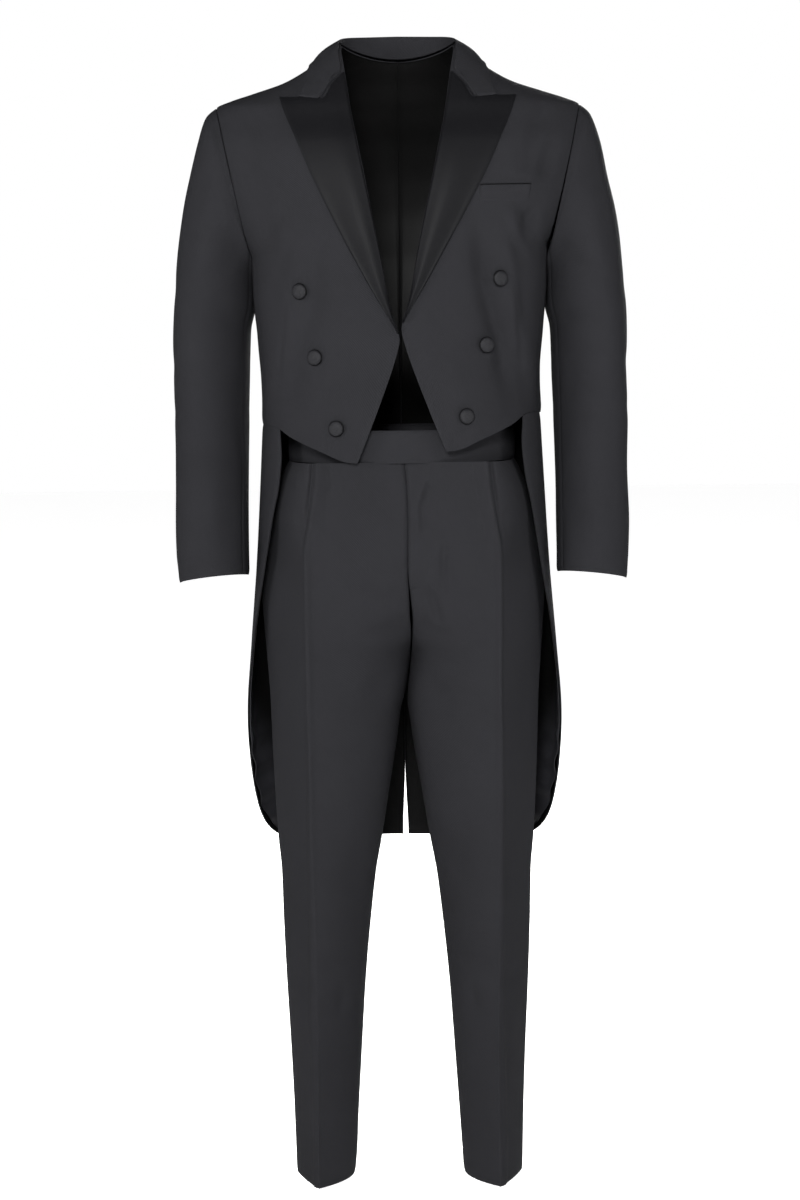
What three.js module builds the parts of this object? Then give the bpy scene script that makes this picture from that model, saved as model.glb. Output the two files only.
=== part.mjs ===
// A black evening suit: a cutaway tailcoat with peak lapels over pleated trousers, filled out as worn.
// Millimetres, +Z up. The front faces -Y and the wearer's left is on +X.
// The origin is the middle of the neck base, level with the top of the shoulders.
import * as THREE from "three";

const WALL = 2;
const SATIN = 1.2;
const SEAM_GAP = 0.3;
const HANG = 7;
const NECK_POINT = { x: 75, z: 21 };
const SHOULDER_POINT = { x: 237, z: -60 };
const ARMPIT = { x: 195, z: -250 };
const WAIST_SEAM = -467;
const COAT_HEM = -1048;
const WAISTBAND = { top: -480, bottom: -521, halfWidth: 148, front: 114, back: 103 };
const BUTTON = { radius: 10.5, height: 4.6, standoff: 0.5 };

// The coat's cross sections, one row for each height
const COAT = [
  { z: 40, halfWidth: 72, front: 12, back: 55, power: 2 },
  { z: 22, halfWidth: 75, front: 16, back: 58, power: 2 },
  { z: 9, halfWidth: 89, front: 26, back: 62, power: 2 },
  { z: -7, halfWidth: 113, front: 37, back: 67, power: 2 },
  { z: -28, halfWidth: 150, front: 50, back: 75, power: 2.05 },
  { z: -42, halfWidth: 190, front: 57, back: 79, power: 2.2 },
  { z: -52, halfWidth: 220, front: 62, back: 82, power: 2.4 },
  { z: -60, halfWidth: 237, front: 66, back: 85, power: 2.6 },
  { z: -75, halfWidth: 244, front: 73, back: 90, power: 2.8 },
  { z: -110, halfWidth: 245, front: 93, back: 103, power: 3 },
  { z: -160, halfWidth: 236, front: 108, back: 114, power: 3 },
  { z: -210, halfWidth: 216, front: 117, back: 118, power: 2.9 },
  { z: -235, halfWidth: 203, front: 120, back: 118, power: 2.8 },
  { z: -250, halfWidth: 195, front: 121, back: 118, power: 2.7 },
  { z: -300, halfWidth: 193.5, front: 124, back: 113, power: 2.5 },
  { z: -352, halfWidth: 188, front: 126, back: 107, power: 2.35 },
  { z: -409, halfWidth: 184, front: 127, back: 105, power: 2.25 },
  { z: -441, halfWidth: 182.5, front: 127, back: 109, power: 2.2 },
  { z: -498, halfWidth: 185, front: 129, back: 122, power: 2.2 },
  { z: -545, halfWidth: 187.5, front: 130, back: 130, power: 2.2 },
  { z: -655, halfWidth: 194, front: 130, back: 138, power: 2.2 },
  { z: -767, halfWidth: 203, front: 130, back: 139, power: 2.2 },
  { z: -883, halfWidth: 211, front: 130, back: 140, power: 2.2 },
  { z: -1060, halfWidth: 212, front: 130, back: 141, power: 2.2 },
];

// The front edge of a forepart: roll line to the closing point, then the cut away edge
const FRONT_EDGE = [
  { z: 21, x: 75 },
  { z: -25, x: 67 },
  { z: -70, x: 60 },
  { z: -115, x: 51 },
  { z: -170, x: 40 },
  { z: -220, x: 30 },
  { z: -261, x: 22 },
  { z: -291, x: 17 },
  { z: -322, x: 10.5 },
  { z: -345, x: 3 },
  { z: -357, x: 1.2 },
  { z: -369, x: 3.5 },
  { z: -395, x: 11.3 },
  { z: -422, x: 21 },
  { z: -451, x: 32 },
  { z: -479, x: 43 },
  { z: -514, x: 57.4 },
];

// The lower edge of a forepart, from its point to the side
const FRONT_HEM = [
  { x: 57.4, z: -514 },
  { x: 68, z: -513.5 },
  { x: 103.6, z: -500 },
  { x: 144, z: -482 },
  { x: 167.5, z: -468 },
  { x: 180, z: WAIST_SEAM },
];

// The seam between forepart and side body, and the seam between side body and back
const SIDE_SEAM = [
  { z: -222, x: 201 },
  { z: -260, x: 188 },
  { z: -300, x: 187.5 },
  { z: -352, x: 183 },
  { z: -409, x: 180 },
  { z: -467, x: 180 },
];
const BACK_SEAM = [
  { z: -175, x: 211 },
  { z: -210, x: 176 },
  { z: -250, x: 142 },
  { z: -300, x: 108 },
  { z: -350, x: 83 },
  { z: -400, x: 67 },
  { z: -450, x: 59 },
  { z: -475, x: 58 },
  { z: -600, x: 62 },
  { z: -800, x: 70 },
  { z: -1048, x: 78 },
];

// The front edge of a tail: how far it lies from the middle, seen from the front, as an angle round the form
const TAIL_EDGE = [
  { z: -467, angle: 59 },
  { z: -504, angle: 57 },
  { z: -541, angle: 58 },
  { z: -589, angle: 63 },
  { z: -622, angle: 66 },
  { z: -674, angle: 71 },
  { z: -708, angle: 75 },
  { z: -800, angle: 86 },
  { z: -885, angle: 96 },
];

// The lower edge of a tail, from the front edge round its corner to the side-back line
const TAIL_HEM = [
  { angle: 96, z: -885 },
  { angle: 99, z: -914 },
  { angle: 103, z: -946 },
  { angle: 108, z: -977 },
  { angle: 114, z: -1006 },
  { angle: 121, z: -1027 },
  { angle: 130, z: -1041 },
  { angle: 142, z: COAT_HEM },
  { angle: 158, z: COAT_HEM },
];

// The outer edge of a lapel, from the peak to the closing point, and its upper edge from the neck to the peak
const LAPEL_OUTER = [
  { z: -50, x: 153.5 },
  { z: -72, x: 146 },
  { z: -100, x: 134 },
  { z: -150, x: 112 },
  { z: -200, x: 87 },
  { z: -250, x: 60 },
  { z: -300, x: 32 },
  { z: -328, x: 15 },
  { z: -349, x: 3.4 },
];
const LAPEL_TOP = [
  { x: 73.5, z: -13 },
  { x: 88, z: -32 },
  { x: 101, z: -53 },
  { x: 128, z: -50.5 },
  { x: 153.5, z: -50 },
];

// The collar from its front end round to the middle of the back: its fold and its outer edge
const COLLAR = [
  { foldX: 101.5, foldY: 0, foldZ: -51.5, edgeX: 128.5, edgeY: 0, edgeZ: -48.5, onCoat: 1 },
  { foldX: 88.6, foldY: 0, foldZ: -30.5, edgeX: 125.5, edgeY: 0, edgeZ: -39, onCoat: 1 },
  { foldX: 75, foldY: 0, foldZ: -11, edgeX: 121, edgeY: 0, edgeZ: -28, onCoat: 1 },
  { foldX: 77, foldY: -8, foldZ: 14, edgeX: 116, edgeY: -13, edgeZ: -12, onCoat: 0.4 },
  { foldX: 76, foldY: 10, foldZ: 27, edgeX: 113, edgeY: 10, edgeZ: -5, onCoat: 0 },
  { foldX: 64, foldY: 38, foldZ: 32, edgeX: 92, edgeY: 50, edgeZ: -7, onCoat: 0 },
  { foldX: 36, foldY: 58, foldZ: 34, edgeX: 52, edgeY: 74, edgeZ: -9, onCoat: 0 },
  { foldX: 0, foldY: 64, foldZ: 35, edgeX: 0, edgeY: 82, edgeZ: -10, onCoat: 0 },
];

// A sleeve's sections from the armhole to the cuff
const SLEEVE = [
  { at: 0, outerX: 237, outerZ: -60, innerX: 195, innerZ: -250, depth: 70, shift: 0 },
  { at: 1, outerX: 250, outerZ: -71, innerX: 196, innerZ: -256, depth: 70, shift: 0 },
  { at: 2, outerX: 263, outerZ: -106, innerX: 196.5, innerZ: -266, depth: 70, shift: 1 },
  { at: 3, outerX: 275, outerZ: -152, innerX: 196.8, innerZ: -280, depth: 69, shift: 3 },
  { at: 4, outerX: 285, outerZ: -200, innerX: 197, innerZ: -298, depth: 68, shift: 4 },
  { at: 5, outerX: 291.5, outerZ: -250, innerX: 197.5, innerZ: -322, depth: 67, shift: 6 },
  { at: 6, outerX: 296, outerZ: -308, innerX: 198.3, innerZ: -352, depth: 65, shift: 8 },
  { at: 7, outerX: 298.5, outerZ: -380, innerX: 200.3, innerZ: -400, depth: 62, shift: 9 },
  { at: 8, outerX: 298.5, outerZ: -450, innerX: 202.5, innerZ: -456, depth: 58, shift: 5 },
  { at: 9, outerX: 298, outerZ: -520, innerX: 203, innerZ: -518, depth: 56, shift: -4 },
  { at: 10, outerX: 297.3, outerZ: -580, innerX: 203.5, innerZ: -575, depth: 53, shift: -14 },
  { at: 11, outerX: 296.3, outerZ: -635, innerX: 203.5, innerZ: -628, depth: 50, shift: -25 },
  { at: 12, outerX: 294.6, outerZ: -680, innerX: 203, innerZ: -672, depth: 48, shift: -34 },
];

// A trouser leg's sections: distances from the middle, depths at the creases, and the depth of the seat
const LEG = [
  { z: -521, outer: 149, crease: 114, inner: 0.3, front: 114, back: 79, seat: 103, fork: 0 },
  { z: -545, outer: 160, crease: 116, inner: 0.3, front: 116, back: 85, seat: 108, fork: 0 },
  { z: -570, outer: 168.5, crease: 119, inner: 0.3, front: 117, back: 90, seat: 113, fork: 0 },
  { z: -617, outer: 180, crease: 123.5, inner: 0.3, front: 118, back: 95, seat: 120, fork: 0 },
  { z: -662, outer: 185.5, crease: 125.8, inner: 0.3, front: 117, back: 97, seat: 122, fork: 0.08 },
  { z: -700, outer: 188.5, crease: 126.3, inner: 0.3, front: 115, back: 98, seat: 121, fork: 0.25 },
  { z: -752, outer: 185.6, crease: 126.3, inner: 0.35, front: 111, back: 98, seat: 116, fork: 0.62 },
  { z: -790, outer: 182.7, crease: 126, inner: 0.5, front: 108, back: 97, seat: 112, fork: 1 },
  { z: -830, outer: 180, crease: 125.7, inner: 1.5, front: 105, back: 97, seat: 108, fork: 1 },
  { z: -861, outer: 178.8, crease: 125.5, inner: 5.7, front: 103, back: 98, seat: 108, fork: 1 },
  { z: -904, outer: 177.5, crease: 124.8, inner: 11.5, front: 101, back: 98, seat: 108, fork: 1 },
  { z: -960, outer: 175.3, crease: 123.8, inner: 21, front: 99, back: 99, seat: 108, fork: 1 },
  { z: -1027, outer: 171.5, crease: 122.8, inner: 32, front: 96, back: 99, seat: 108, fork: 1 },
  { z: -1071, outer: 167.7, crease: 122, inner: 40, front: 94, back: 98, seat: 108, fork: 1 },
  { z: -1137, outer: 166, crease: 121.3, inner: 48, front: 92, back: 97, seat: 108, fork: 1 },
  { z: -1220, outer: 162.9, crease: 120.5, inner: 56, front: 90, back: 95, seat: 108, fork: 1 },
  { z: -1302, outer: 158.9, crease: 119.7, inner: 61.5, front: 89, back: 92, seat: 108, fork: 1 },
  { z: -1386, outer: 155.5, crease: 119.8, inner: 67, front: 89, back: 90, seat: 108, fork: 1 },
  { z: -1484, outer: 152.9, crease: 120.2, inner: 73, front: 90, back: 90, seat: 108, fork: 1 },
];

// Where the covered buttons sit on a forepart
const BUTTONS = [
  { x: 129, z: -293 },
  { x: 110.5, z: -378 },
  { x: 84, z: -469.5 },
];

const suitCloth = new THREE.MeshStandardMaterial({ color: "#333336", roughness: 0.88, metalness: 0 });
const facingSatin = new THREE.MeshStandardMaterial({ color: "#232325", roughness: 0.42, metalness: 0 });
const liningSatin = new THREE.MeshStandardMaterial({ color: "#1b1b1d", roughness: 0.38, metalness: 0 });
const buttonCloth = new THREE.MeshStandardMaterial({ color: "#3a3a3c", roughness: 0.7, metalness: 0 });

const suit = new THREE.Group();
const { lerp, clamp, smoothstep } = THREE.MathUtils;
const degrees = THREE.MathUtils.degToRad;

// A smooth reading of one column of a table, by another column, without overshoot
function column(table, value, by = "z") {
  const rows = [...table].sort((a, b) => a[by] - b[by]);
  const last = rows.length - 1;
  const rise = (i) => (rows[i + 1][value] - rows[i][value]) / (rows[i + 1][by] - rows[i][by]);
  const slope = rows.map((row, i) => {
    if (i === 0) return rise(0);
    if (i === last) return rise(last - 1);
    const before = rise(i - 1);
    const after = rise(i);
    return before * after > 0 ? (2 * before * after) / (before + after) : 0;
  });
  return (at) => {
    const place = clamp(at, rows[0][by], rows[last][by]);
    const i = clamp(rows.findIndex((row) => row[by] >= place) - 1, 0, last - 1);
    const step = rows[i + 1][by] - rows[i][by];
    const t = (place - rows[i][by]) / step;
    const start = (1 + 2 * t) * (1 - t) ** 2 * rows[i][value] + t * (1 - t) ** 2 * step * slope[i];
    const end = t ** 2 * (3 - 2 * t) * rows[i + 1][value] + t ** 2 * (t - 1) * step * slope[i + 1];
    return start + end;
  };
}

// A point along a table's rows, evenly by length in its two named columns
function along(table, first, second) {
  const lengths = [0];
  for (let i = 1; i < table.length; i++) {
    const run = table[i][first] - table[i - 1][first];
    const fall = table[i][second] - table[i - 1][second];
    lengths.push(lengths[i - 1] + Math.hypot(run, fall));
  }
  const rows = table.map((row, i) => ({ ...row, length: lengths[i] / lengths.at(-1) }));
  const readFirst = column(rows, first, "length");
  const readSecond = column(rows, second, "length");
  return (t) => [readFirst(t), readSecond(t)];
}

const coat = {
  halfWidth: column(COAT, "halfWidth"),
  front: column(COAT, "front"),
  back: column(COAT, "back"),
  power: column(COAT, "power"),
};

// The coat's depth at a place seen from the front: negative before the side line, positive behind it
function coatDepth(x, z, behind) {
  const share = clamp(Math.abs(x) / coat.halfWidth(z), 0, 1);
  const height = (1 - share ** coat.power(z)) ** (1 / coat.power(z));
  return behind ? coat.back(z) * height : -coat.front(z) * height;
}

// A point on the coat's form at an angle from the middle of the front round to the back
function coatRing(angle, z) {
  const x = coat.halfWidth(z) * Math.sin(angle) ** (2 / coat.power(z));
  const reach = Math.abs(Math.cos(angle)) ** (2 / coat.power(z));
  return new THREE.Vector3(x, Math.cos(angle) < 0 ? coat.back(z) * reach : -coat.front(z) * reach, z);
}

function coatAngle(x, z, behind) {
  const share = clamp(Math.abs(x) / coat.halfWidth(z), 0, 1);
  const angle = Math.asin(share ** (coat.power(z) / 2));
  return behind ? Math.PI - angle : angle;
}

// The outward direction of the coat's form at a point
function coatOut(point) {
  const field = (x, y, z) => {
    const depth = y > 0 ? coat.back(z) : coat.front(z);
    return (Math.abs(x) / coat.halfWidth(z)) ** coat.power(z) + (Math.abs(y) / depth) ** coat.power(z);
  };
  const step = 0.5;
  const { x, y, z } = point;
  return new THREE.Vector3(
    field(x + step, y, z) - field(x - step, y, z),
    field(x, y + step, z) - field(x, y - step, z),
    field(x, y, z + step) - field(x, y, z - step),
  ).normalize();
}

// Moves a point out until it stands off the coat's form by a distance
function standOff(point, distance) {
  const field = (p) => {
    const depth = p.y > 0 ? coat.back(p.z) : coat.front(p.z);
    const power = coat.power(p.z);
    return ((Math.abs(p.x) / coat.halfWidth(p.z)) ** power + (Math.abs(p.y) / depth) ** power) ** (1 / power);
  };
  for (let round = 0; round < 6; round++) {
    const out = coatOut(point);
    const slope = (field(point.clone().addScaledVector(out, 0.5)) - field(point)) / 0.5;
    const short = distance - (field(point) - 1) / slope;
    if (short > 0) point.addScaledVector(out, Math.min(short, 6));
  }
  return point;
}

// A sheet stretched between four edges, read in two coordinates
function stretch(top, bottom, inner, outer) {
  return (u, v) =>
    [0, 1].map((k) => {
      const rows = lerp(top(u)[k], bottom(u)[k], v);
      const columns = lerp(inner(v)[k], outer(v)[k], u);
      const corners = lerp(lerp(top(0)[k], top(1)[k], u), lerp(bottom(0)[k], bottom(1)[k], u), v);
      return rows + columns - corners;
    });
}

// The viewer's left forepart hangs a little lower than the right one
function settle(point, side) {
  const chest = smoothstep(-point.z, 80, 290);
  const skirt = 1 - smoothstep(-point.z, 530, 720);
  const ahead = 1 - smoothstep(point.y, -30, 60);
  point.z += side * HANG * chest * skirt * ahead;
  return point;
}

// A cloth wall between an outer sheet of points and the same points moved in by its thickness
function wall(name, material, counts, sheet, thickness = WALL) {
  const [columns, rows] = counts;
  const outer = [];
  const inner = [];
  for (let j = 0; j <= rows; j++) {
    for (let i = 0; i <= columns; i++) {
      const { point, out } = sheet(i / columns, j / rows);
      outer.push(point);
      inner.push(point.clone().addScaledVector(out, -thickness));
    }
  }
  const size = outer.length;
  const at = (i, j) => j * (columns + 1) + i;
  const faces = [];
  const quad = (a, b, c, d) => faces.push(a, b, c, a, c, d);
  for (let j = 0; j < rows; j++) {
    for (let i = 0; i < columns; i++) {
      quad(at(i, j), at(i + 1, j), at(i + 1, j + 1), at(i, j + 1));
      quad(size + at(i, j), size + at(i, j + 1), size + at(i + 1, j + 1), size + at(i + 1, j));
    }
  }
  for (let i = 0; i < columns; i++) {
    quad(at(i + 1, 0), at(i, 0), size + at(i, 0), size + at(i + 1, 0));
    quad(at(i, rows), at(i + 1, rows), size + at(i + 1, rows), size + at(i, rows));
  }
  for (let j = 0; j < rows; j++) {
    quad(at(0, j), at(0, j + 1), size + at(0, j + 1), size + at(0, j));
    quad(at(columns, j + 1), at(columns, j), size + at(columns, j), size + at(columns, j + 1));
  }
  const points = [...outer, ...inner];
  let volume = 0;
  for (let k = 0; k < faces.length; k += 3) {
    const [a, b, c] = [points[faces[k]], points[faces[k + 1]], points[faces[k + 2]]];
    volume += a.dot(b.clone().cross(c));
  }
  const geometry = new THREE.BufferGeometry().setFromPoints(points);
  geometry.setIndex(volume < 0 ? faces.reverse() : faces);
  geometry.computeVertexNormals();
  const mesh = new THREE.Mesh(geometry, material);
  mesh.name = name;
  suit.add(mesh);
}

const SIDES = [
  { name: "left", x: 1 },
  { name: "right", x: -1 },
];

// A piece on the coat's form, mirrored to its side and settled
function coatSheet(side, surface, lift = () => 0) {
  return (u, v) => {
    const point = surface(u, v);
    const out = coatOut(point);
    point.addScaledVector(out, lift(u, v));
    point.x *= side.x;
    out.x *= side.x;
    return { point: settle(point, side.x), out };
  };
}

// The armhole: where the coat's form meets a slanting plane from the shoulder point to the armpit
function armholeX(z) {
  return lerp(SHOULDER_POINT.x, ARMPIT.x, (z - SHOULDER_POINT.z) / (ARMPIT.z - SHOULDER_POINT.z));
}

function armholeZ(turn) {
  const middle = (SHOULDER_POINT.z + ARMPIT.z) / 2;
  return middle + ((SHOULDER_POINT.z - ARMPIT.z) / 2) * Math.cos(turn);
}

function armholePoint(turn) {
  const z = armholeZ(turn);
  return new THREE.Vector3(armholeX(z), coatDepth(armholeX(z), z, Math.sin(turn) < 0), z);
}

const frontTurn = Math.acos((-222 - (SHOULDER_POINT.z + ARMPIT.z) / 2) / 95);
const backTurn = Math.acos((-175 - (SHOULDER_POINT.z + ARMPIT.z) / 2) / 95);
const sideSeamX = column(SIDE_SEAM, "x");
const backSeamX = column(BACK_SEAM, "x");
const shoulderSeam = (t) => {
  const z = lerp(NECK_POINT.z, SHOULDER_POINT.z, t ** 0.8);
  return [coat.halfWidth(z), z];
};

// An outer edge that follows the armhole first and then a seam
function outerEdge(turnEnd, seamX, seamEnd, share, inset) {
  return (t) => {
    if (t < share) {
      const z = armholeZ((turnEnd * t) / share);
      return [armholeX(z) - inset * smoothstep(t, 0, 0.05), z];
    }
    const z = lerp(armholeZ(turnEnd), seamEnd, (t - share) / (1 - share));
    return [seamX(z) - inset, z];
  };
}

function foreparts() {
  const edge = along(FRONT_EDGE, "x", "z");
  const hem = along(FRONT_HEM, "x", "z");
  const outer = outerEdge(frontTurn, sideSeamX, WAIST_SEAM, 0.42, SEAM_GAP);
  const patch = stretch(shoulderSeam, hem, edge, outer);
  for (const side of SIDES) {
    const surface = (u, v) => {
      const [x, z] = patch(lerp(0.001, 0.999, 1 - (1 - u) ** 1.4), v ** 1.15);
      return new THREE.Vector3(x, Math.min(coatDepth(x, z, false), -SEAM_GAP), z);
    };
    wall("front_" + side.name, suitCloth, [10, 14], coatSheet(side, surface));
  }
}

function backs() {
  const neck = (t) => [NECK_POINT.x * t, lerp(2, NECK_POINT.z, t ** 2)];
  const top = (t) => (t < 0.3 ? neck(t / 0.3) : shoulderSeam((t - 0.3) / 0.7));
  const bottom = (t) => [lerp(3.5, backSeamX(COAT_HEM), t), COAT_HEM];
  const inner = (t) => {
    const z = lerp(2, COAT_HEM, t);
    return [SEAM_GAP / 2 + 3.4 * smoothstep(-z, 945, -COAT_HEM), z];
  };
  const outer = outerEdge(backTurn, backSeamX, COAT_HEM, 0.14, SEAM_GAP);
  const patch = stretch(top, bottom, inner, outer);
  for (const side of SIDES) {
    const surface = (u, v) => {
      const [x, z] = patch(u, v ** 1.35);
      return new THREE.Vector3(Math.max(x, 0.15), Math.max(coatDepth(x, z, true), SEAM_GAP), z);
    };
    wall("back_" + side.name, suitCloth, [8, 30], coatSheet(side, surface));
  }
}

function sideBodies() {
  const top = (t) => {
    const point = armholePoint(lerp(frontTurn, 2 * Math.PI - backTurn, t));
    return [coatAngle(point.x, point.z, point.y > 0), point.z];
  };
  const bottom = (t) => {
    const start = coatAngle(sideSeamX(WAIST_SEAM), WAIST_SEAM, false);
    const end = coatAngle(backSeamX(WAIST_SEAM), WAIST_SEAM, true);
    return [lerp(start, end, t), WAIST_SEAM];
  };
  const seam = (seamX, startZ, behind) => (t) => {
    const z = lerp(startZ, WAIST_SEAM, t);
    return [coatAngle(seamX(z), z, behind), z];
  };
  const inner = seam(sideSeamX, armholeZ(frontTurn), false);
  const outer = seam(backSeamX, armholeZ(backTurn), true);
  const patch = stretch(top, bottom, inner, outer);
  for (const side of SIDES) {
    const surface = (u, v) => {
      const [angle, z] = patch(lerp(0.004, 0.997, u), v);
      return coatRing(angle, z - SEAM_GAP * (1 - v));
    };
    wall("side_body_" + side.name, suitCloth, [10, 12], coatSheet(side, surface));
  }
}

function tails() {
  const edgeAngle = column(TAIL_EDGE, "angle");
  const hem = along([...TAIL_HEM].reverse(), "angle", "z");
  const pleat = (z) => coatAngle(backSeamX(z) + 2, z, true);
  const top = (t) => [lerp(degrees(edgeAngle(WAIST_SEAM)), pleat(WAIST_SEAM), 1 - t), WAIST_SEAM];
  const bottom = (t) => {
    const [angle, z] = hem(t);
    return [lerp(pleat(z), degrees(angle), smoothstep(t, 0, 0.15)), z];
  };
  const inner = (t) => {
    const z = lerp(WAIST_SEAM, COAT_HEM, t);
    return [pleat(z), z];
  };
  const outer = (t) => {
    const z = lerp(WAIST_SEAM, -885, t);
    return [degrees(edgeAngle(z)), z];
  };
  const patch = stretch(top, bottom, inner, outer);
  // The waist seam follows the forepart's lower edge towards the front
  const hemDrop = column(FRONT_HEM, "z", "x");
  for (const side of SIDES) {
    const surface = (u, v) => {
      const [angle, z] = patch(u, v);
      const x = coat.halfWidth(WAIST_SEAM) * Math.sin(angle) ** 0.9;
      const drop = angle < Math.PI / 2 ? hemDrop(x) - WAIST_SEAM : 0;
      return coatRing(angle, z - (SEAM_GAP - drop) * (1 - smoothstep(v, 0, 0.2)));
    };
    wall("tail_" + side.name, suitCloth, [10, 12], coatSheet(side, surface));
    const inside = (u, v) => surface(clamp(u, 0.015, 0.98), clamp(v, 0.01, 0.99));
    const lining = coatSheet(side, inside, () => -WALL - 3 * SEAM_GAP);
    wall("tail_lining_" + side.name, liningSatin, [10, 12], lining, 1);
  }
}

function lapels() {
  const edge = along(FRONT_EDGE.slice(0, 10), "x", "z");
  const inner = (t) => edge(lerp(0.1, 0.995, t));
  const top = along(LAPEL_TOP, "x", "z");
  const bottom = (t) => [lerp(inner(1)[0], LAPEL_OUTER.at(-1).x, t), lerp(inner(1)[1], LAPEL_OUTER.at(-1).z, t)];
  const patch = stretch(top, bottom, inner, along(LAPEL_OUTER, "x", "z"));
  for (const side of SIDES) {
    const surface = (u, v) => {
      const [x, z] = patch(u, v);
      return new THREE.Vector3(x, coatDepth(x, z, false), z);
    };
    // The lapel stands proud where it rolls and lies flat at its outer edge
    const lift = (u) => SATIN + 2.2 + 3 * Math.sin(Math.PI * clamp(u * 1.1, 0, 1)) ** 1.5 * (1 - u * 0.5);
    wall("lapel_" + side.name, facingSatin, [6, 12], coatSheet(side, surface, lift), SATIN);
  }
}

// The collar is one strip from end to end; negative places along it are on the wearer's right
function collarPoint(along01, across) {
  const place = clamp((1 - Math.abs(along01)) * (COLLAR.length - 1), 0, COLLAR.length - 1);
  const rows = COLLAR.map((row, i) => ({ ...row, i }));
  const read = (key) => column(rows, key, "i")(place);
  const corner = (prefix) => new THREE.Vector3(read(prefix + "X"), read(prefix + "Y"), read(prefix + "Z"));
  const point = corner("fold").lerp(corner("edge"), across);
  const lying = coatDepth(point.x, point.z, false) - 3.6 - 1.5 * Math.sin(Math.PI * across);
  point.y = lerp(point.y, lying, read("onCoat"));
  const bulge = (1 - read("onCoat")) * 5 * Math.sin(Math.PI * across);
  const away = new THREE.Vector3(point.x, point.y, 40).normalize();
  point.addScaledVector(away, bulge);
  if (across > 0.2 || read("onCoat") > 0) standOff(point, WALL + 1.6);
  point.x *= Math.sign(along01) || 1;
  return point;
}

// The outward direction of any sheet of points, from its neighbours
function facing(sheet, u, v, towards) {
  const step = 0.004;
  const across = sheet(u + step, v).sub(sheet(u - step, v));
  const down = sheet(u, v + step).sub(sheet(u, v - step));
  const out = across.cross(down).normalize();
  return out.dot(towards) < 0 ? out.negate() : out;
}

function collar() {
  const sheet = (u, v) => collarPoint(lerp(-1, 1, clamp(u, 0, 1)), clamp(v, 0, 1));
  wall("collar", suitCloth, [24, 3], (u, v) => {
    const point = sheet(u, v);
    return { point, out: facing(sheet, u, v, new THREE.Vector3(point.x, point.y, 30)) };
  });
  const stand = (u, v) => {
    const fold = collarPoint(lerp(-0.42, 0.42, clamp(u, 0, 1)), 0);
    const base = fold.clone().multiply(new THREE.Vector3(0.965, 0.93, 1));
    base.z = 2.6 + lerp(2, NECK_POINT.z, clamp(Math.abs(base.x) / NECK_POINT.x, 0, 1) ** 2);
    fold.multiply(new THREE.Vector3(0.965, 0.95, 1)).setZ(fold.z - 1);
    return fold.lerp(base, clamp(v, 0, 1));
  };
  wall("collar_stand", suitCloth, [16, 1], (u, v) => {
    const point = stand(u, v);
    return { point, out: facing(stand, u, v, new THREE.Vector3(point.x, point.y, 0)) };
  }, 1.6);
}

const sleeve = Object.fromEntries(
  Object.keys(SLEEVE[0]).map((key) => [key, column(SLEEVE, key, "at")]),
);

// A point on a sleeve: its place down the arm and its turn from the outer side through the front
function sleevePoint(place, turn) {
  const outer = new THREE.Vector3(sleeve.outerX(place), 0, sleeve.outerZ(place));
  const inner = new THREE.Vector3(sleeve.innerX(place), 0, sleeve.innerZ(place));
  const outward = (1 + Math.cos(turn)) / 2;
  const point = inner.clone().lerp(outer, outward);
  const twist = 36 * smoothstep(place, 1, 4) - 18 * smoothstep(place, 8, 12);
  const turned = twist * ((1 - outward) ** 1.5 - 0.3);
  const rounded = sleeve.shift(place) - sleeve.depth(place) * Math.sin(turn) + turned;
  point.y = lerp(armholePoint(turn).y, rounded, smoothstep(place, 0, 2));
  return point;
}

function sleeves() {
  const plane = new THREE.Vector3(SHOULDER_POINT.z - ARMPIT.z, 0, ARMPIT.x - SHOULDER_POINT.x).normalize();
  const seams = [
    { name: "top_sleeve_", from: -105, to: 150, columns: 12 },
    { name: "under_sleeve_", from: 151, to: 254, columns: 6 },
  ];
  const last = SLEEVE.length - 1;
  for (const side of SIDES) {
    for (const seam of seams) {
      const sheet = (u, v) => {
        const turn = degrees(lerp(seam.from, seam.to, u));
        return sleevePoint(clamp(v, 0, 1) * last, turn);
      };
      wall(seam.name + side.name, suitCloth, [seam.columns, 11], (u, v) => {
        const point = sheet(u, v);
        const middle = sleevePoint(v * last, 0).lerp(sleevePoint(v * last, Math.PI), 0.5);
        const out = facing(sheet, u, v, point.clone().sub(middle));
        const level = 1 - smoothstep(v, 0, 0.08);
        out.addScaledVector(plane, -level * out.dot(plane)).normalize();
        point.addScaledVector(plane, 0.5 * level);
        point.x *= side.x;
        out.x *= side.x;
        return { point, out };
      });
    }
  }
}

const leg = Object.fromEntries(Object.keys(LEG[0]).map((key) => [key, column(LEG, key)]));

// A point on a trouser panel: across from the inner seam over the crease to the outer seam
function legPoint(across, z, behind) {
  const inward = across < 0.5;
  const share = clamp(inward ? across * 2 : (1 - across) * 2, 0, 1);
  const round = 1 - Math.cos((share * Math.PI) / 2);
  const pressed = smoothstep(-z, 545, 660);
  const rounding = inward ? leg.fork(z) : 1 - 0.75 * pressed;
  const edgeX = inward ? leg.inner(z) : leg.outer(z);
  const x = lerp(edgeX, leg.crease(z), lerp(share, round, rounding));
  const depth = behind ? leg.back(z) : leg.front(z);
  const sharp = inward ? 0.42 * pressed + 0.3 * smoothstep(-z, 1100, 1450) : 0.75 * pressed;
  const rise = lerp(Math.sin((share * Math.PI) / 2), share, sharp);
  const middle = behind ? leg.seat(z) : depth * 0.97;
  const edge = inward ? middle * Math.cos((leg.fork(z) * Math.PI) / 2) : 0;
  const y = lerp(edge, depth, rise);
  return new THREE.Vector3(x, behind ? y : -y, z);
}

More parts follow.
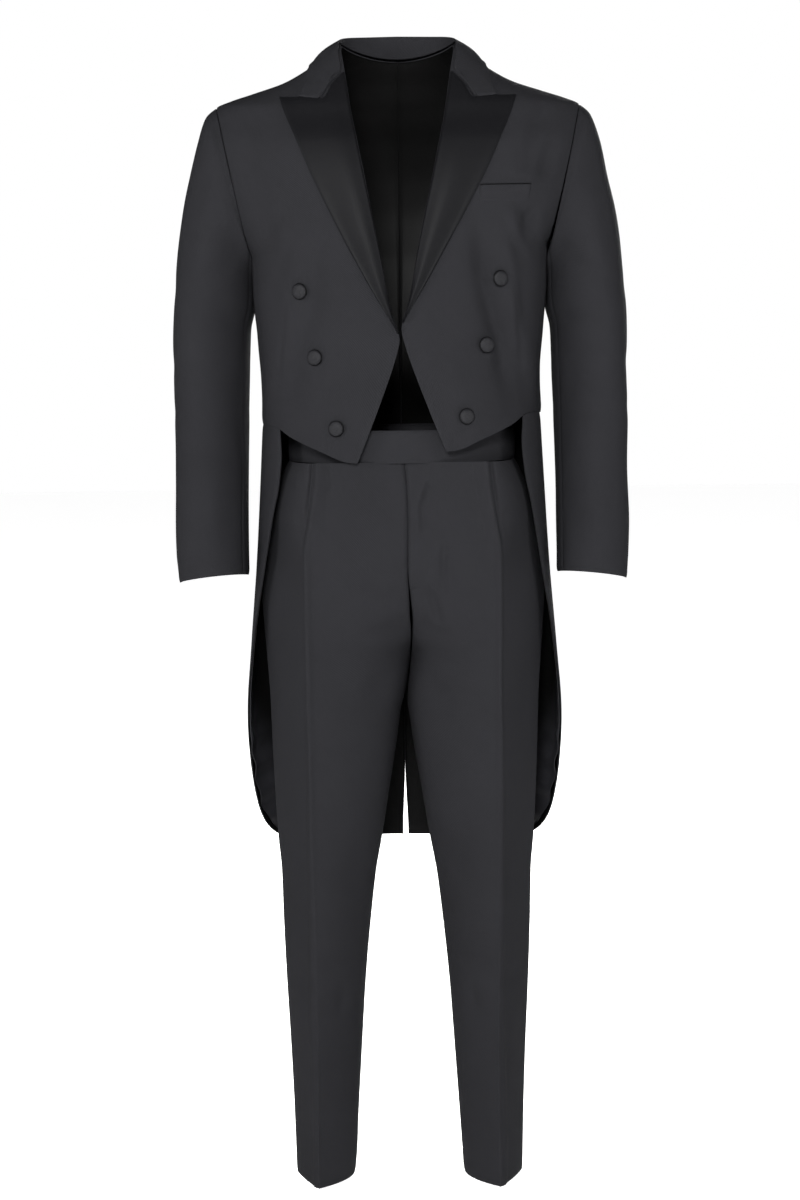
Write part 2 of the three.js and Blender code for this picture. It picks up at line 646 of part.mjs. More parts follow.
function trouserSheet(side, behind, lift = 0) {
  const hem = LEG.at(-1).z;
  const top = WAISTBAND.bottom - SEAM_GAP;
  const place = (u, v) => legPoint(lerp(0.0016, 0.9984, u), lerp(top, hem, v), behind);
  return (u, v) => {
    const inside = clamp(u, 0.01, 0.99);
    const point = place(u, v);
    const out = facing(place, inside, clamp(v, 0.005, 0.995), new THREE.Vector3(0, behind ? 1 : -1, 0));
    const fork = leg.fork(point.z);
    if (u > 0.99) out.set(1, 0, 0);
    if (u < 0.01) out.set(-fork, (behind ? 1 : -1) * (1 - fork), 0);
    if (v < 0.02) out.z = 0;
    out.normalize();
    point.addScaledVector(out, lift);
    point.x *= side.x;
    out.x *= side.x;
    return { point, out };
  };
}

function trousers() {
  for (const side of SIDES) {
    for (const panel of [{ name: "trouser_front_", behind: false }, { name: "trouser_back_", behind: true }]) {
      wall(panel.name + side.name, suitCloth, [10, 16], trouserSheet(side, panel.behind));
    }
  }
  const ring = (turn) => {
    const depth = Math.cos(turn) > 0 ? WAISTBAND.front : WAISTBAND.back;
    return new THREE.Vector3(WAISTBAND.halfWidth * Math.sin(turn), -depth * Math.cos(turn), 0);
  };
  wall("waistband", suitCloth, [36, 1], (u, v) => {
    const turn = lerp(0.002, 2 * Math.PI - 0.002, u);
    const point = ring(turn).setZ(lerp(WAISTBAND.top, WAISTBAND.bottom, v));
    const out = new THREE.Vector3(Math.sin(turn) / WAISTBAND.halfWidth, -Math.cos(turn) / WAISTBAND.front, 0);
    return { point, out: out.normalize() };
  });
  const flyWidth = (z) => 0.16 * Math.sqrt(clamp(1 - ((-z - 630) / 58) ** 2, 0.02, 1));
  const front = trouserSheet(SIDES[0], false, 1.4);
  const length = WAISTBAND.bottom - SEAM_GAP - LEG.at(-1).z;
  wall("fly", suitCloth, [3, 8], (u, v) => {
    const down = lerp(0.004, 0.172, v);
    const z = WAISTBAND.bottom - down * length;
    const width = z > -630 ? 0.16 : flyWidth(z);
    return front(lerp(0.012, width, u), down);
  }, 1);
}

function buttonGeometry() {
  const { radius, height } = BUTTON;
  const profile = [
    [0, 0],
    [radius * 0.86, 0],
    [radius, height * 0.3],
    [radius * 0.97, height * 0.6],
    [radius * 0.7, height * 0.9],
    [radius * 0.35, height],
    [0, height],
  ];
  return new THREE.LatheGeometry(profile.map(([x, y]) => new THREE.Vector2(x, y)), 14);
}

function buttons() {
  for (const side of SIDES) {
    BUTTONS.forEach((row, i) => {
      const point = new THREE.Vector3(row.x, coatDepth(row.x, row.z, false), row.z);
      const out = coatOut(point);
      point.addScaledVector(out, BUTTON.standoff);
      point.x *= side.x;
      out.x *= side.x;
      const mesh = new THREE.Mesh(buttonGeometry(), buttonCloth);
      mesh.name = "button_" + side.name + "_" + (i + 1);
      mesh.position.copy(settle(point, side.x));
      mesh.quaternion.setFromUnitVectors(new THREE.Vector3(0, 1, 0), out);
      suit.add(mesh);
    });
  }
}

function breastWelt() {
  const surface = (u, v) => {
    const x = lerp(104, 171, u) - 3 * v;
    const z = lerp(-168.5, -192, v) + u;
    return new THREE.Vector3(x, coatDepth(x, z, false), z);
  };
  wall("breast_welt", suitCloth, [5, 1], coatSheet(SIDES[0], surface, () => 1.8), 1.2);
}

foreparts();
backs();
sideBodies();
tails();
lapels();
collar();
sleeves();
trousers();
buttons();
breastWelt();

export default suit;
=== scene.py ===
"""Dresses a black evening suit: a cutaway tailcoat with satin peak lapels over pleated trousers.

Tables hold sizes in millimetres, seen from the front: x from the middle, y back, z up from the neck base.
The wearer's left is on +X and the front faces -Y.
"""

import logging
import math
from bisect import bisect_right
from dataclasses import dataclass, field
from enum import Enum
from typing import Callable, NamedTuple, Sequence

import bmesh
import bpy
from mathutils import Matrix, Vector, noise

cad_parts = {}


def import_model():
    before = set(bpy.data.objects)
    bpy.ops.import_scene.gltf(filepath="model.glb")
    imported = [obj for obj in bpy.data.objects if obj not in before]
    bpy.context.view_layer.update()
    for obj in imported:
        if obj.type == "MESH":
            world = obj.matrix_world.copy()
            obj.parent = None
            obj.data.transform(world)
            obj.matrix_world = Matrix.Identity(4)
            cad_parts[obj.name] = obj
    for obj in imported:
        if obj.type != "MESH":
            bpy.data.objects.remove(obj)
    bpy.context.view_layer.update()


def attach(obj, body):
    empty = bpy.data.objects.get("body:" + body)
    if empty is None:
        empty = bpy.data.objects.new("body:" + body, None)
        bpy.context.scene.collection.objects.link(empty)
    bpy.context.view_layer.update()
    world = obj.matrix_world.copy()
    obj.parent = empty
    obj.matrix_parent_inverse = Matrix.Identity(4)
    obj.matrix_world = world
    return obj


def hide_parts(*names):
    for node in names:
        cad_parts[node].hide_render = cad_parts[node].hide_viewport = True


log = logging.getLogger("suit")
Pair = tuple[float, float]
Curve = Callable[[float], Pair]
Surface = Callable[[float, float], Vector]
Sheet = Callable[[float, float], tuple[Vector, Vector]]
MM = 0.001
# Half the drop between the two foreparts
HANG = 7.0
NECK_X, NECK_Z = 75.0, 21.0
NAPE_Z = 2.0
SHOULDER_X, SHOULDER_Z = 237.0, -60.0
ARMPIT_X, ARMPIT_Z = 195.0, -250.0
# Where the side seam and the back seam leave the armhole
SIDE_SEAM_TOP, BACK_SEAM_TOP = -222.0, -175.0
WAIST_SEAM = -467.0
# The tail's round corner ends here on its front edge
TAIL_CORNER = -885.0
COAT_HEM = -1048.0
BAND_TOP, BAND_BOTTOM = -480.0, -521.0
POCKET_Z = -180.0
# How far the collar and the lapels stand off the coat
COLLAR_GAP, LAPEL_GAP = 3.6, 2.6
# The share of the collar's strip that is its stand
STAND = 0.4
CLOTH = 1.8
# How far the tail's lining hangs off its cloth
LOOSE = 1.1


class Side(Enum):
    """The wearer's sides, with the sign of X."""

    LEFT = 1
    RIGHT = -1

    @property
    def word(self) -> str:
        """The side's name in node and piece names."""
        return self.name.lower()

    @property
    def mirror(self) -> Vector:
        """Turns a point or direction for +X to this side when multiplied."""
        return Vector((self.value, 1, 1))


class CoatRow(NamedTuple):
    """A level section of the coat's form."""

    z: float
    half_width: float
    front: float
    back: float
    power: float


class Spot(NamedTuple):
    """A point on a pattern edge, seen from the front."""

    x: float
    z: float


class Bend(NamedTuple):
    """A point on a tail's edge: its angle round the form, in degrees, and its height."""

    angle: float
    z: float


class CollarRow(NamedTuple):
    """A place along the collar: its fold, its outer edge and how much it lies on the forepart."""

    fold_x: float
    fold_y: float
    fold_z: float
    edge_x: float
    edge_y: float
    edge_z: float
    on_coat: float


class SleeveRow(NamedTuple):
    """A section of the sleeve: its outer and inner points, half depth and shift to the back."""

    at: float
    outer_x: float
    outer_z: float
    inner_x: float
    inner_z: float
    depth: float
    shift: float


class LegRow(NamedTuple):
    """A section of a trouser leg."""

    z: float
    outer: float
    crease: float
    inner: float
    front: float
    back: float
    seat: float
    fork: float


class Fold(NamedTuple):
    """A soft ridge, or a trough where its height is negative, along a line seen from the front."""

    x0: float
    z0: float
    x1: float
    z1: float
    height: float
    width: float


def table_of(kind: Callable[..., tuple], *table: tuple[float, ...]) -> tuple:
    """Names the columns of a table's rows."""
    return tuple(kind(*row) for row in table)


COAT_ROWS = table_of(
    CoatRow,
    (40, 72, 12, 55, 2), (22, 75, 16, 58, 2), (9, 89, 26, 62, 2), (-7, 113, 37, 67, 2),
    (-28, 150, 50, 75, 2.05), (-42, 190, 57, 79, 2.2), (-52, 220, 62, 82, 2.4), (-60, 237, 66, 85, 2.6),
    (-75, 244, 73, 90, 2.8), (-110, 245, 93, 103, 3), (-160, 236, 108, 114, 3),
    (-210, 216, 117, 118, 2.9), (-235, 203, 120, 118, 2.8), (-250, 195, 121, 118, 2.7),
    (-300, 193.5, 124, 113, 2.5), (-352, 188, 126, 107, 2.35), (-409, 184, 127, 105, 2.25),
    (-441, 182.5, 127, 109, 2.2), (-498, 185, 129, 122, 2.2), (-545, 187.5, 130, 130, 2.2),
    (-655, 194, 130, 138, 2.2), (-767, 203, 130, 139, 2.2), (-883, 211, 130, 140, 2.2),
    (-1060, 212, 130, 141, 2.2),
)
FRONT_EDGE = table_of(
    Spot,
    (75, 21), (67, -25), (60, -70), (51, -115), (40, -170), (30, -220), (22, -261), (17, -291),
    (10.5, -322), (3, -345), (1.2, -357), (3.5, -369), (11.3, -395), (21, -422), (32, -451), (43, -479),
    (57.4, -514),
)
FRONT_HEM = table_of(
    Spot,
    (57.4, -514), (68, -513.5), (103.6, -500), (144, -482), (167.5, -468), (180, WAIST_SEAM),
)
SIDE_SEAM = table_of(
    Spot,
    (201, -222), (188, -260), (187.5, -300), (183, -352), (180, -409), (180, -467),
)
BACK_SEAM = table_of(
    Spot,
    (211, -175), (176, -210), (142, -250), (108, -300), (83, -350), (67, -400), (59, -450), (58, -475),
    (62, -600), (70, -800), (78, -1048),
)
TAIL_EDGE = table_of(
    Bend,
    (59, -467), (57, -504), (58, -541), (63, -589), (66, -622), (71, -674), (75, -708), (86, -800),
    (96, TAIL_CORNER),
)
TAIL_HEM = table_of(
    Bend,
    (158, COAT_HEM), (142, COAT_HEM), (130, -1041), (121, -1027), (114, -1006), (108, -977),
    (103, -946), (99, -914), (96, TAIL_CORNER),
)
LAPEL_OUTER = table_of(
    Spot,
    (153.5, -50), (146, -72), (134, -100), (112, -150), (87, -200), (60, -250), (32, -300), (15, -328),
    (3.4, -349),
)
LAPEL_TOP = table_of(Spot, (73.5, -13), (88, -32), (101, -53), (128, -50.5), (153.5, -50))
COLLAR_ROWS = table_of(
    CollarRow,
    (101.5, 0, -51.5, 128.5, 0, -48.5, 1), (88.6, 0, -30.5, 125.5, 0, -39, 1),
    (75, 0, -11, 121, 0, -28, 1), (77, -8, 14, 116, -13, -12, 0.4), (76, 10, 27, 113, 10, -5, 0),
    (64, 38, 32, 92, 50, -7, 0), (36, 58, 34, 52, 74, -9, 0), (0, 64, 35, 0, 82, -10, 0),
)
SLEEVE_ROWS = table_of(
    SleeveRow,
    (0, 237, -60, 195, -250, 70, 0), (1, 250, -71, 192.5, -256, 70, 0),
    (2, 263, -106, 190, -266, 70, 1), (3, 275, -152, 191, -280, 69, 3),
    (4, 285, -200, 191, -298, 68, 4), (5, 291.5, -250, 192, -322, 67, 6),
    (6, 296, -308, 198.3, -352, 65, 8), (7, 298.5, -380, 200.3, -400, 62, 9),
    (8, 298.5, -450, 202.5, -456, 58, 5), (9, 298, -520, 203, -518, 56, -4),
    (10, 297.3, -580, 203.5, -575, 53, -14), (11, 296.3, -635, 203.5, -628, 50, -25),
    (12, 294.6, -680, 203, -672, 48, -34),
)
LEG_ROWS = table_of(
    LegRow,
    (-521, 149, 114, 0, 114, 79, 103, 0), (-545, 160, 116, 0, 116, 85, 108, 0),
    (-570, 168.5, 119, 0, 117, 90, 113, 0), (-617, 180, 123.5, 0, 118, 95, 120, 0),
    (-662, 185.5, 125.8, 0, 117, 97, 122, 0.08), (-700, 188.5, 126.3, 0, 115, 98, 121, 0.25),
    (-752, 185.6, 126.3, 0.1, 111, 98, 116, 0.62), (-790, 182.7, 126, 0.5, 108, 97, 112, 1),
    (-830, 180, 125.7, 1.5, 105, 97, 108, 1), (-861, 178.8, 125.5, 5.7, 103, 98, 108, 1),
    (-904, 177.5, 124.8, 11.5, 101, 98, 108, 1), (-960, 175.3, 123.8, 21, 99, 99, 108, 1),
    (-1027, 171.5, 122.8, 32, 96, 99, 108, 1), (-1071, 167.7, 122, 40, 94, 98, 108, 1),
    (-1137, 166, 121.3, 48, 92, 97, 108, 1), (-1220, 162.9, 120.5, 56, 90, 95, 108, 1),
    (-1302, 158.9, 119.7, 61.5, 89, 92, 108, 1), (-1386, 155.5, 119.8, 67, 89, 90, 108, 1),
    (-1484, 152.9, 120.2, 73, 90, 90, 108, 1),
)
# Shares of a button's radius and height, from the middle of its foot to the top of its dome
BUTTON_PROFILE = table_of(
    Spot,
    (0, 0), (0.6, 0), (1, 0.02), (1, 0.08), (0.86, 0.12), (0.93, 0.3), (0.91, 0.48), (0.84, 0.66),
    (0.7, 0.83), (0.42, 0.96), (0, 1),
)
BUTTON_SPOTS = table_of(Spot, (129, -293), (110.5, -378), (84, -469.5))
DART_TOP, DART_END = table_of(Spot, (146, -305), (160, -405))


def lerp(a: float, b: float, t: float) -> float:
    """Mixes two numbers."""
    return a + (b - a) * t


def clamp(value: float, low: float = 0.0, high: float = 1.0) -> float:
    """Keeps a number between two limits."""
    return min(max(value, low), high)


def smooth(value: float, low: float, high: float) -> float:
    """Rises softly from 0 at low to 1 at high."""
    t = clamp((value - low) / (high - low))
    return t * t * (3 - 2 * t)


def within(share: float, low: float, high: float) -> float:
    """Rises softly from 0 at the first edge to 1 at low, and falls from high to the last edge."""
    return smooth(share, 0, low) * (1 - smooth(share, high, 1))


def bell(distance: float, width: float) -> float:
    """A soft bump: 1 in the middle, falling off over its width."""
    return math.exp(-((distance / width) ** 2))


class Column:
    """A smooth reading of one column of a table by another, without overshoot."""

    fine = 1500

    def __init__(self, keys: Sequence[float], values: Sequence[float]) -> None:
        """Sorts the pairs and finds the slope at each.

        Args:
            keys: The column that is looked up.
            values: The column that is read.
        """
        pairs = sorted(zip(keys, values))
        self.keys = [key for key, _ in pairs]
        self.values = [value for _, value in pairs]
        steps = [b - a for a, b in zip(self.keys, self.keys[1:])]
        rises = [(b - a) / step for a, b, step in zip(self.values, self.values[1:], steps)]
        inner = [2 * a * b / (a + b) if a * b > 0 else 0.0 for a, b in zip(rises, rises[1:])]
        self.slopes = [rises[0], *inner, rises[-1]]
        self.reach = self.keys[-1] - self.keys[0]
        self.dense = [self.exact(self.keys[0] + self.reach * i / self.fine) for i in range(self.fine + 1)]

    def __call__(self, key: float) -> float:
        """Reads the column from its dense copy, held within the table."""
        place = clamp((key - self.keys[0]) / self.reach) * self.fine
        i = min(int(place), self.fine - 1)
        return lerp(self.dense[i], self.dense[i + 1], place - i)

    def exact(self, key: float) -> float:
        """Works out the column at a place between its rows.

        Args:
            key: The place to read.

        Returns:
            The value there.
        """
        i = min(bisect_right(self.keys, key), len(self.keys) - 1) - 1
        step = self.keys[i + 1] - self.keys[i]
        t = (key - self.keys[i]) / step
        start = (1 + 2 * t) * (1 - t) ** 2 * self.values[i] + t * (1 - t) ** 2 * step * self.slopes[i]
        end = t * t * (3 - 2 * t) * self.values[i + 1] + t * t * (t - 1) * step * self.slopes[i + 1]
        return start + end


def read(rows: Sequence[NamedTuple], value: str, key: str = "z") -> Column:
    """Makes a column of a table of named rows."""
    return Column([getattr(row, key) for row in rows], [getattr(row, value) for row in rows])


def along(rows: Sequence[tuple[float, float]]) -> Curve:
    """A smooth curve through pairs, read from 0 to 1 evenly by its length.

    Args:
        rows: The pairs.

    Returns:
        A function from 0 to 1 to a pair.
    """
    lengths = [0.0]
    for a, b in zip(rows, rows[1:]):
        lengths.append(lengths[-1] + math.hypot(b[0] - a[0], b[1] - a[1]))
    places = [length / lengths[-1] for length in lengths]
    first = Column(places, [row[0] for row in rows])
    second = Column(places, [row[1] for row in rows])
    return lambda t: (first(t), second(t))


def stretch(top: Curve, bottom: Curve, inner: Curve, outer: Curve) -> Callable[[float, float], Pair]:
    """Fills four edges with a smooth sheet in two coordinates.

    Args:
        top: The upper edge, from inner to outer.
        bottom: The lower edge, from inner to outer.
        inner: The inner edge, from top to bottom.
        outer: The outer edge, from top to bottom.

    Returns:
        A function from two shares to a pair of coordinates.
    """

    def patch(u: float, v: float) -> Pair:
        edges = (top(u), bottom(u), inner(v), outer(v), top(0), top(1), bottom(0), bottom(1))
        pair = []
        for t, b, i, o, t0, t1, b0, b1 in zip(*edges):
            corners = lerp(lerp(t0, t1, u), lerp(b0, b1, u), v)
            pair.append(lerp(t, b, v) + lerp(i, o, u) - corners)
        return tuple(pair)

    return patch


# How far the trousers' middle line hangs towards the wearer's left, by height
FLY_SWAY = Column(
    (-521, -560, -600, -660, -690, -742, -775, -815, -850),
    (3.5, 6.5, 7.5, 6.5, 8.0, 10.5, 9.5, 5.0, 0.0),
)
COLLAR_COLUMNS = tuple(Column(range(len(COLLAR_ROWS)), values) for values in zip(*COLLAR_ROWS))


class CoatForm:
    """The coat's hollow form: rounded sections that close at the shoulders."""

    half_width, front, back, power = (read(COAT_ROWS, key) for key in CoatRow._fields[1:])
    middle, radius = (SHOULDER_Z + ARMPIT_Z) / 2, (SHOULDER_Z - ARMPIT_Z) / 2
    side_turn = math.acos((SIDE_SEAM_TOP - middle) / radius)
    back_turn = math.acos((BACK_SEAM_TOP - middle) / radius)

    def depth(self, x: float, z: float, behind: bool) -> float:
        """The form's y at a place seen from the front or from behind."""
        power = self.power(z)
        share = clamp(abs(x) / self.half_width(z))
        height = (1 - share ** power) ** (1 / power)
        return self.back(z) * height if behind else -self.front(z) * height

    def place(self, x: float, z: float, behind: bool = False) -> Vector:
        """The form's point there."""
        return Vector((x, self.depth(x, z, behind), z))

    def ring(self, angle: float, z: float) -> Vector:
        """The point of a section at an angle from the front round to the back."""
        power = self.power(z)
        reach = abs(math.cos(angle)) ** (2 / power)
        depth = self.back(z) * reach if math.cos(angle) < 0 else -self.front(z) * reach
        return Vector((self.half_width(z) * math.sin(angle) ** (2 / power), depth, z))

    def angle(self, x: float, z: float, behind: bool) -> float:
        """The angle of a place seen from the front or from behind."""
        angle = math.asin(clamp(abs(x) / self.half_width(z)) ** (self.power(z) / 2))
        return math.pi - angle if behind else angle

    def size(self, point: Vector) -> float:
        """How far out a point lies: 1 on the form."""
        depth = self.back(point.z) if point.y > 0 else self.front(point.z)
        power = self.power(point.z)
        share = (abs(point.x) / self.half_width(point.z)) ** power + (abs(point.y) / depth) ** power
        return share ** (1 / power)

    def out(self, point: Vector) -> Vector:
        """The outward direction at a point near the form."""
        steps = (Vector((0.5, 0, 0)), Vector((0, 0.5, 0)), Vector((0, 0, 0.5)))
        return Vector([self.size(point + step) - self.size(point - step) for step in steps]).normalized()

    def stand_off(self, point: Vector, distance: float) -> Vector:
        """Moves a point out until it stands off the form by a distance.

        Args:
            point: The point to move.
            distance: The least distance, in millimetres.

        Returns:
            The moved point.
        """
        for _ in range(6):
            out = self.out(point)
            slope = (self.size(point + out * 0.5) - self.size(point)) / 0.5
            short = distance - (self.size(point) - 1) / slope
            if short > 0:
                point = point + out * min(short, 6)
        return point

    def armhole_x(self, z: float) -> float:
        """The armhole's x at a height."""
        return lerp(SHOULDER_X, ARMPIT_X, (z - SHOULDER_Z) / (ARMPIT_Z - SHOULDER_Z))

    def armhole_z(self, turn: float) -> float:
        """The armhole's height at a turn from its top."""
        return self.middle + self.radius * math.cos(turn)

    def armhole(self, turn: float) -> Vector:
        """The armhole's point at a turn from its top, through the front."""
        z = self.armhole_z(turn)
        return self.place(self.armhole_x(z), z, math.sin(turn) < 0)

    def shoulder_seam(self, t: float) -> Pair:
        """The shoulder seam from the neck point to the shoulder point."""
        z = lerp(NECK_Z, SHOULDER_Z, t ** 0.8)
        return self.half_width(z), z

    def outer_edge(self, turn: float, seam: Column, low: float, share: float) -> Curve:
        """An edge that follows the armhole first and then a seam.

        Args:
            turn: Where it leaves the armhole.
            seam: The seam's x by height.
            low: The seam's lowest height.
            share: The part of the edge that lies on the armhole.

        Returns:
            The edge from 0 to 1.
        """

        def edge(t: float) -> Pair:
            if t < share:
                z = self.armhole_z(turn * t / share)
                return self.armhole_x(z), z
            z = lerp(self.armhole_z(turn), low, (t - share) / (1 - share))
            return seam(z), z

        return edge


def settle(point: Vector, side: Side) -> Vector:
    """Lets the wearer's right forepart hang a little lower than the left one."""
    chest = smooth(-point.z, 80, 290)
    skirt = 1 - smooth(-point.z, 530, 720)
    ahead = 1 - smooth(point.y, -30, 60)
    return point + Vector((0, 0, side.value * HANG * chest * skirt * ahead))


def folded(folds: Sequence[Fold], x: float, z: float) -> float:
    """The height of a table of folds at a place seen from the front.

    Args:
        folds: The ridges and troughs.
        x: The place's distance from the middle.
        z: The place's height.

    Returns:
        How far the cloth stands out there, in millimetres.
    """
    total = 0.0
    for fold in folds:
        run = (fold.x1 - fold.x0, fold.z1 - fold.z0)
        length = math.hypot(*run)
        share = ((x - fold.x0) * run[0] + (z - fold.z0) * run[1]) / length ** 2
        if not -0.4 < share < 1.4:
            continue
        # A fold sways a little along its run
        sway = 0.12 * fold.width * math.sin(5 * share + fold.x0)
        across = ((x - fold.x0) * run[1] - (z - fold.z0) * run[0]) / length + sway
        if abs(across) > 3 * fold.width:
            continue
        fade = smooth(share, -0.25, 0.3) * (1 - smooth(share, 0.65, 1.3))
        total += fold.height * fade * bell(across, fold.width)
    return total


def unevenness(point: Vector, size: float, height: float, seed: float) -> float:
    """A slow, soft unevenness of the cloth.

    Args:
        point: A place, in millimetres.
        size: The length of one swell, in millimetres.
        height: Its height, in millimetres.
        seed: Sets pieces apart.

    Returns:
        The height there, in millimetres.
    """
    return height * noise.noise(Vector((point.x / size + seed, point.y / size, point.z / size * 0.6)))


def hex_colour(code: str) -> tuple[float, float, float, float]:
    """Turns an sRGB hex colour to linear values."""
    shares = [int(code[i:i + 2], 16) / 255 for i in (1, 3, 5)]
    linear = [c / 12.92 if c <= 0.04045 else ((c + 0.055) / 1.055) ** 2.4 for c in shares]
    return (*linear, 1.0)


def feed(tree: bpy.types.NodeTree, node: bpy.types.Node, inputs: dict) -> None:
    """Gives inputs of a node, by name or number, their values or links to outputs."""
    for key, value in inputs.items():
        if isinstance(value, bpy.types.NodeSocket):
            tree.links.new(value, node.inputs[key])
        else:
            node.inputs[key].default_value = value


def add_node(
    tree: bpy.types.NodeTree, kind: str, inputs: dict | None = None, **settings,
) -> bpy.types.Node:
    """Adds a shader node.

    Args:
        tree: The node tree.
        kind: The node's type, without the words that all shader nodes begin with.
        inputs: What its inputs are given.
        **settings: Attributes of the node.

    Returns:
        The node.
    """
    node = tree.nodes.new("ShaderNode" + kind)
    for key, value in settings.items():
        setattr(node, key, value)
    feed(tree, node, inputs or {})
    return node


@dataclass(frozen=True)
class WovenFinish:
    """A woven cloth: its two yarn colours, its thread and twill, its relief, its shine and any light
    painted on towards its hem.
    """

    name: str
    dark: str
    light: str
    thread: float
    twill: float
    bump: float
    roughness: float
    specular: float
    fuzz: float = 0.0
    # A paler colour painted on towards the hem, as painted light where the loose satin turns to the
    # light; empty for none
    hem: str = ""

    def make(self) -> bpy.types.Material:
        """Builds the material.

        Returns:
            The material, patterned on the piece's own UV map, which is in metres.
        """
        material = bpy.data.materials.new(self.name)
        material.use_nodes = True
        tree = material.node_tree
        tree.nodes.clear()
        place = add_node(tree, "UVMap", uv_map="cloth").outputs["UV"]
        turn = {"Vector": place, "Rotation": (0, 0, math.radians(self.twill))}
        turned = add_node(tree, "Mapping", turn).outputs["Vector"]
        # One wave is one thread pair; the real weave is finer, so it is drawn as coarse as it shows
        repeat = math.pi / (10 * self.thread * MM)
        waves = []
        for way, scale, wander in (("X", repeat, 0.6), ("Y", repeat * 0.45, 0.4)):
            wave = {"Vector": turned, "Scale": scale, "Distortion": wander, "Detail": 1.0}
            waves.append(add_node(tree, "TexWave", wave, bands_direction=way).outputs["Fac"])
        weave = add_node(tree, "Math", dict(enumerate(waves)), operation="MULTIPLY").outputs[0]
        body = add_node(tree, "TexCoord").outputs["Object"]
        soft = {"Vector": body, "Scale": 9.0, "Detail": 4.0, "Roughness": 0.55}
        cloud = add_node(tree, "TexNoise", soft).outputs["Fac"]
        nap = add_node(tree, "TexNoise", {"Vector": body, "Scale": 900.0, "Detail": 2.0}).outputs["Fac"]
        blend = add_node(tree, "Math", {0: weave, 1: cloud, 2: nap}, operation="MULTIPLY_ADD")
        spread = add_node(tree, "MapRange", {"Value": blend.outputs[0], "From Min": 0.3, "From Max": 1.0})
        yarns = {"Factor": spread.outputs["Result"], 6: hex_colour(self.dark), 7: hex_colour(self.light)}
        colour = add_node(tree, "Mix", yarns, data_type="RGBA").outputs[2]
        # Painted light: the colour is faded to a paler one towards the hem
        if self.hem:
            colour = self.paler_below(tree, place, colour)
        relief = add_node(tree, "Math", {0: nap, 1: self.fuzz, 2: weave}, operation="MULTIPLY_ADD")
        grain = {"Height": relief.outputs[0], "Strength": self.bump, "Distance": 0.0004}
        cloth = {
            "Base Color": colour, "Normal": add_node(tree, "Bump", grain).outputs["Normal"],
            "Roughness": self.roughness, "IOR": 1.5, "Specular IOR Level": self.specular,
        }
        shader = add_node(tree, "BsdfPrincipled", cloth)
        add_node(tree, "OutputMaterial", {"Surface": shader.outputs["BSDF"]})
        return material

    def paler_below(
        self, tree: bpy.types.NodeTree, place: bpy.types.NodeSocket, colour: bpy.types.NodeSocket,
    ) -> bpy.types.NodeSocket:
        """Paints light on the lower part: fades the colour to a paler one towards the hem, as loose satin
        shows where it turns to the light.

        Args:
            tree: The material's nodes.
            place: The UV map's output.
            colour: The mixed yarn colour.

        Returns:
            The faded colour.
        """
        down = add_node(tree, "SeparateXYZ", {0: place}).outputs["Y"]
        reach = {"Value": down, "From Min": 0.41, "From Max": 0.52}
        fall = add_node(tree, "MapRange", reach, interpolation_type="SMOOTHSTEP").outputs["Result"]
        ends = {"Factor": fall, 6: colour, 7: hex_colour(self.hem)}
        return add_node(tree, "Mix", ends, data_type="RGBA").outputs[2]


@dataclass(frozen=True)
class MatteFinish:
    """A plain studio surface."""

    name: str
    colour: str
    roughness: float
    glow: float

    def make(self) -> bpy.types.Material:
        """Builds the material, lit a little from below like a light table."""
        material = bpy.data.materials.new(self.name)
        material.use_nodes = True
        tree, tint = material.node_tree, hex_colour(self.colour)
        look = {"Base Color": tint, "Emission Color": tint}
        look |= {"Roughness": self.roughness, "Emission Strength": self.glow}
        feed(tree, tree.nodes["Principled BSDF"], look)
        return material


# Worsted wool barathea: close, matt and dark
WORSTED = WovenFinish("worsted_barathea", "#0e0e0f", "#18181a", 1.1, 45, 0.35, 0.9, 0.01, 0.5)
# Silk satin: long floats lie flat, so it is smooth and takes a soft streak of light
FACING = WovenFinish("silk_satin_facing", "#050506", "#09090a", 0.8, 0, 0.10, 0.5, 0.026)
# Acetate satin lining inside the coat: thin, slippery and black
LINING = WovenFinish("satin_lining", "#020202", "#040404", 0.7, 0, 0.08, 0.46, 0.02)
# Ribbed silk over the button moulds
RIBBED = WovenFinish("ribbed_silk", "#0b0b0c", "#151517", 1.0, 0, 0.5, 0.5, 0.04)
# The same satin in the tails, with painted light: its colours are lighter than the lining's where the
# light reaches it, and paler towards the hem
PAINTED_LIT_TAIL_SATIN = WovenFinish("tail_satin", "#030303", "#060606", 0.7, 0, 0.08, 0.36, 0.06, hem="#141416")


@dataclass
class Wardrobe:
    """Holds each finish's material, made once."""

    made: dict[str, bpy.types.Material] = field(default_factory=dict)

    def get(self, finish: WovenFinish | MatteFinish) -> bpy.types.Material:
        """The material of a finish."""
        if finish.name not in self.made:
            self.made[finish.name] = finish.make()
        return self.made[finish.name]


def add_object(name: str, data: bpy.types.ID) -> bpy.types.Object:
    """Puts a mesh, a lamp or the camera into the scene."""
    thing = bpy.data.objects.new(name, data)
    bpy.context.scene.collection.objects.link(thing)
    return thing


